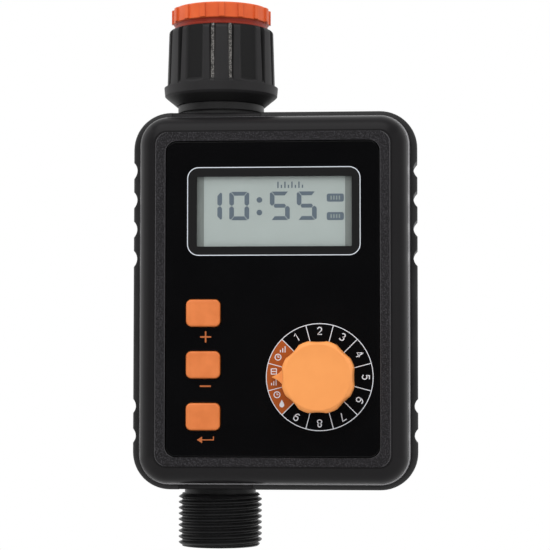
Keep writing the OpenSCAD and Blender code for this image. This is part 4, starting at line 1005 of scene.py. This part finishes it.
dialSet = {"at": (14.53, -24.07), "outer": 16.43, "line": 0.235, "inner": 10.4, "sectorLine": 0.245,
           "digitRadius": 14.1, "digitHeight": 2.62, "digitStroke": 0.31, "firstAngle": 120.0,
           "stepAngle": 30.0, "sectors": 12, "modeStart": 135.0, "modeEnd": 225.0, "modeSteps": 32,
           "signs": [(143.0, "bars"), (154.5, "clock"), (173.0, "frame"), (186.5, "bars"),
                     (202.5, "clock"), (215.0, "drop")]}


def onRing(radius, angle):
    u, v = dialSet["at"]
    a = math.radians(angle)
    return u + radius * math.cos(a), v + radius * math.sin(a)


# strokes of each number in a box one unit high, around its middle
sixStrokes = [bend(0, -0.16, 0.25, 0.25, 0, 180, 10), bend(0, -0.16, 0.25, 0.25, 180, 360, 10),
              bend(0.06, -0.08, 0.31, 0.49, 178, 60, 10)]
numberStrokes = {
    1: [[(-0.19, 0.22), (0.07, 0.42), (0.07, -0.5)]],
    2: [bend(0, 0.17, 0.24, 0.24, 170, -25) + [(-0.25, -0.41), (0.28, -0.41)]],
    3: [bend(-0.02, 0.2, 0.22, 0.21, 155, -90), bend(-0.02, -0.19, 0.26, 0.22, 90, -155)],
    4: [[(0.12, 0.44), (-0.27, -0.2), (0.31, -0.2)], [(0.12, 0.44), (0.12, -0.5)]],
    5: [[(0.24, 0.41), (-0.17, 0.41)] + bend(-0.01, -0.14, 0.26, 0.27, 142, -152)],
    6: sixStrokes,
    7: [[(-0.27, 0.41), (0.25, 0.41), (-0.08, -0.5)]],
    8: [bend(0, 0.2, 0.2, 0.21, 0, 180, 10), bend(0, 0.2, 0.2, 0.21, 180, 360, 10),
        bend(0, -0.2, 0.25, 0.21, 0, 180, 10), bend(0, -0.2, 0.25, 0.21, 180, 360, 10)],
    9: [[(-x, -y) for x, y in stroke] for stroke in sixStrokes],
}


def addNumbers(numbers):
    for number, strokes in numberStrokes.items():
        angle = dialSet["firstAngle"] - dialSet["stepAngle"] * (number - 1)
        turn = Matrix.Rotation(math.radians(angle - 90), 2)
        middle = Vector(onRing(dialSet["digitRadius"], angle))
        for stroke in strokes:
            points = [middle + turn @ (Vector(p) * dialSet["digitHeight"]) for p in stroke]
            numbers.ribbon([tuple(p) for p in points], dialSet["digitStroke"])


modeSet = {"stroke": 0.28, "clock": 1.05, "clockSteps": 32, "handUp": 0.62, "handOut": 0.48,
           "handStroke": 0.224, "bars": (-0.7, 0.0, 0.7), "barFoot": -0.95, "barTop": -0.2, "barRise": 0.55,
           "frame": 1.9, "frameRadius": 0.3, "frameInner": 0.1, "frameSteps": 4, "frameBar": 0.65,
           "dropTip": 1.2, "dropRadius": 0.75, "dropMiddle": -0.4, "dropStart": 25.0, "dropEnd": -205.0}


def addModeSign(signs, kind, u, v):
    thin = modeSet["stroke"]
    if kind == "clock":
        radius = modeSet["clock"]
        steps = modeSet["clockSteps"]
        signs.band(circleLoop(u, v, radius, steps), circleLoop(u, v, radius - thin, steps))
        hands = [(u, v + modeSet["handUp"]), (u, v), (u + modeSet["handOut"], v)]
        signs.ribbon(hands, modeSet["handStroke"])
    elif kind == "bars":
        for k, aside in enumerate(modeSet["bars"]):
            top = v + modeSet["barTop"] + modeSet["barRise"] * k
            signs.bar((u + aside, v + modeSet["barFoot"]), (u + aside, top), thin)
    elif kind == "frame":
        side = modeSet["frame"]
        inner = side - 2 * thin
        steps = modeSet["frameSteps"]
        signs.band(roundedLoop(u, v, side, side, modeSet["frameRadius"], steps),
                   roundedLoop(u, v, inner, inner, modeSet["frameInner"], steps))
        signs.bar((u - modeSet["frameBar"], v), (u + modeSet["frameBar"], v), thin)
    else:
        radius = modeSet["dropRadius"]
        middle = v + modeSet["dropMiddle"]
        drop = bend(u, middle, radius, radius, modeSet["dropStart"], modeSet["dropEnd"])
        signs.fill([(u, v + modeSet["dropTip"])] + drop)


def addDialPrint():
    u, v = dialSet["at"]
    low = face["panel"]
    reach = dialSet["outer"] - dialSet["line"]
    ring = Print(low, low + printSet["raise"])
    ring.band(circleLoop(u, v, dialSet["outer"]), circleLoop(u, v, reach))
    for k in range(dialSet["sectors"]):
        angle = dialSet["stepAngle"] * (k + 0.5)
        ring.bar(onRing(dialSet["inner"], angle), onRing(reach, angle), dialSet["sectorLine"])
    ring.piece("dialRing", "inkWhite", "housing", "panel_gloss")
    numbers = Print(low, low + printSet["raise"])
    addNumbers(numbers)
    numbers.piece("dialNumbers", "inkWhite", "housing", "panel_gloss")
    modes = Print(low, low + printSet["maskRaise"])
    inner = dialSet["inner"]
    outer = dialSet["outer"] - dialSet["line"] / 2
    start = dialSet["modeStart"]
    end = dialSet["modeEnd"]
    steps = dialSet["modeSteps"]
    modes.fill(bend(u, v, outer, outer, start, end, steps) + bend(u, v, inner, inner, end, start, steps))
    modes.piece("dialModes", "inkBrown", "housing", "panel_gloss")
    signs = Print(low + printSet["maskRaise"], low + printSet["raise"])
    for angle, kind in dialSet["signs"]:
        addModeSign(signs, kind, *onRing(dialSet["digitRadius"], angle))
    signs.piece("dialSigns", "inkWhite", "housing", "panel_gloss")


addDialPrint()
print("panel printed")

# floor, world and lamps

floorSet = {"drop": -0.263, "half": 0.9, "colour": rgb(0.54, 0.54, 0.54), "shade": rgb(0.50, 0.50, 0.50),
            "cloud": 6.0, "rough": 0.7, "spread": 0.1}


def addFloor():
    mat, graph = newFinish("paleFloor")
    cloud = graph.noise(graph.place(), floorSet["cloud"], cloudSet["detail"])
    closeFinish(graph, {
        "Base Color": graph.mixed(cloud, floorSet["shade"], floorSet["colour"]),
        "Roughness": floorSet["rough"] + cloud.swing(floorSet["spread"]),
    })
    half = floorSet["half"]
    corners = [(-half, -half, 0), (half, -half, 0), (half, half, 0), (-half, half, 0)]
    mesh = bpy.data.meshes.new("floor")
    mesh.from_pydata(corners, [], [(0, 1, 2, 3)])
    mesh.materials.append(mat)
    floor = bpy.data.objects.new("floor", mesh)
    floor.location = (face["u"] * mm, 0.0, floorSet["drop"])
    scene.collection.objects.link(floor)


worldSet = {"fill": 0.8, "front": 0.02, "behindLow": 0.05, "behindHigh": 0.85}


def addWorld():
    world = bpy.data.worlds.new("studio")
    scene.world = world
    world.use_nodes = True
    graph = Graph(world.node_tree)
    camera = graph.node("LightPath", out="Is Camera Ray")
    through = graph.node("LightPath", out="Is Transmission Ray")
    gloss = graph.node("LightPath", out="Is Glossy Ray")
    side = graph.split(graph.node("TexCoord", out="Generated"))[1]
    behind = graph.ramp(side, worldSet["behindLow"], worldSet["behindHigh"])
    seen = camera.highest(through)
    mirrored = gloss * (worldSet["front"] + behind * (1 - worldSet["front"]))
    level = seen + (1 - seen) * (mirrored + (1 - gloss) * worldSet["fill"])
    lamp = graph.node("Background", {}, {"Color": rgb(1, 1, 1), "Strength": level})
    graph.node("OutputWorld", {}, {"Surface": lamp})


lampSet = {
    "frontBox": {"at": (-0.18, -0.78, 0.85), "size": (1.4, 1.4), "power": 7.4},
    "sideBox": {"at": (1.30, -1.05, 0.15), "size": (1.1, 1.3), "power": 2.2},
    "leftBox": {"at": (-0.90, 0.08, 0.12), "size": (0.9, 1.2), "power": 2.1},
    "rightBox": {"at": (0.95, 0.12, 0.08), "size": (0.9, 1.2), "power": 1.5},
    "topBox": {"at": (0.02, -0.05, 0.65), "size": (1.2, 0.9), "power": 0.8},
}
lampAim = Vector((0.015, 0.0, -0.09))


def addLamps():
    for name, lamp in lampSet.items():
        data = bpy.data.lights.new(name, "AREA")
        data.shape = "RECTANGLE"
        data.size = lamp["size"][0]
        data.size_y = lamp["size"][1]
        data.energy = lamp["power"]
        box = bpy.data.objects.new(name, data)
        box.location = lamp["at"]
        box.rotation_euler = (lampAim - Vector(lamp["at"])).to_track_quat("-Z", "Y").to_euler()
        scene.collection.objects.link(box)


addFloor()
addWorld()
addLamps()
print("studio lit")
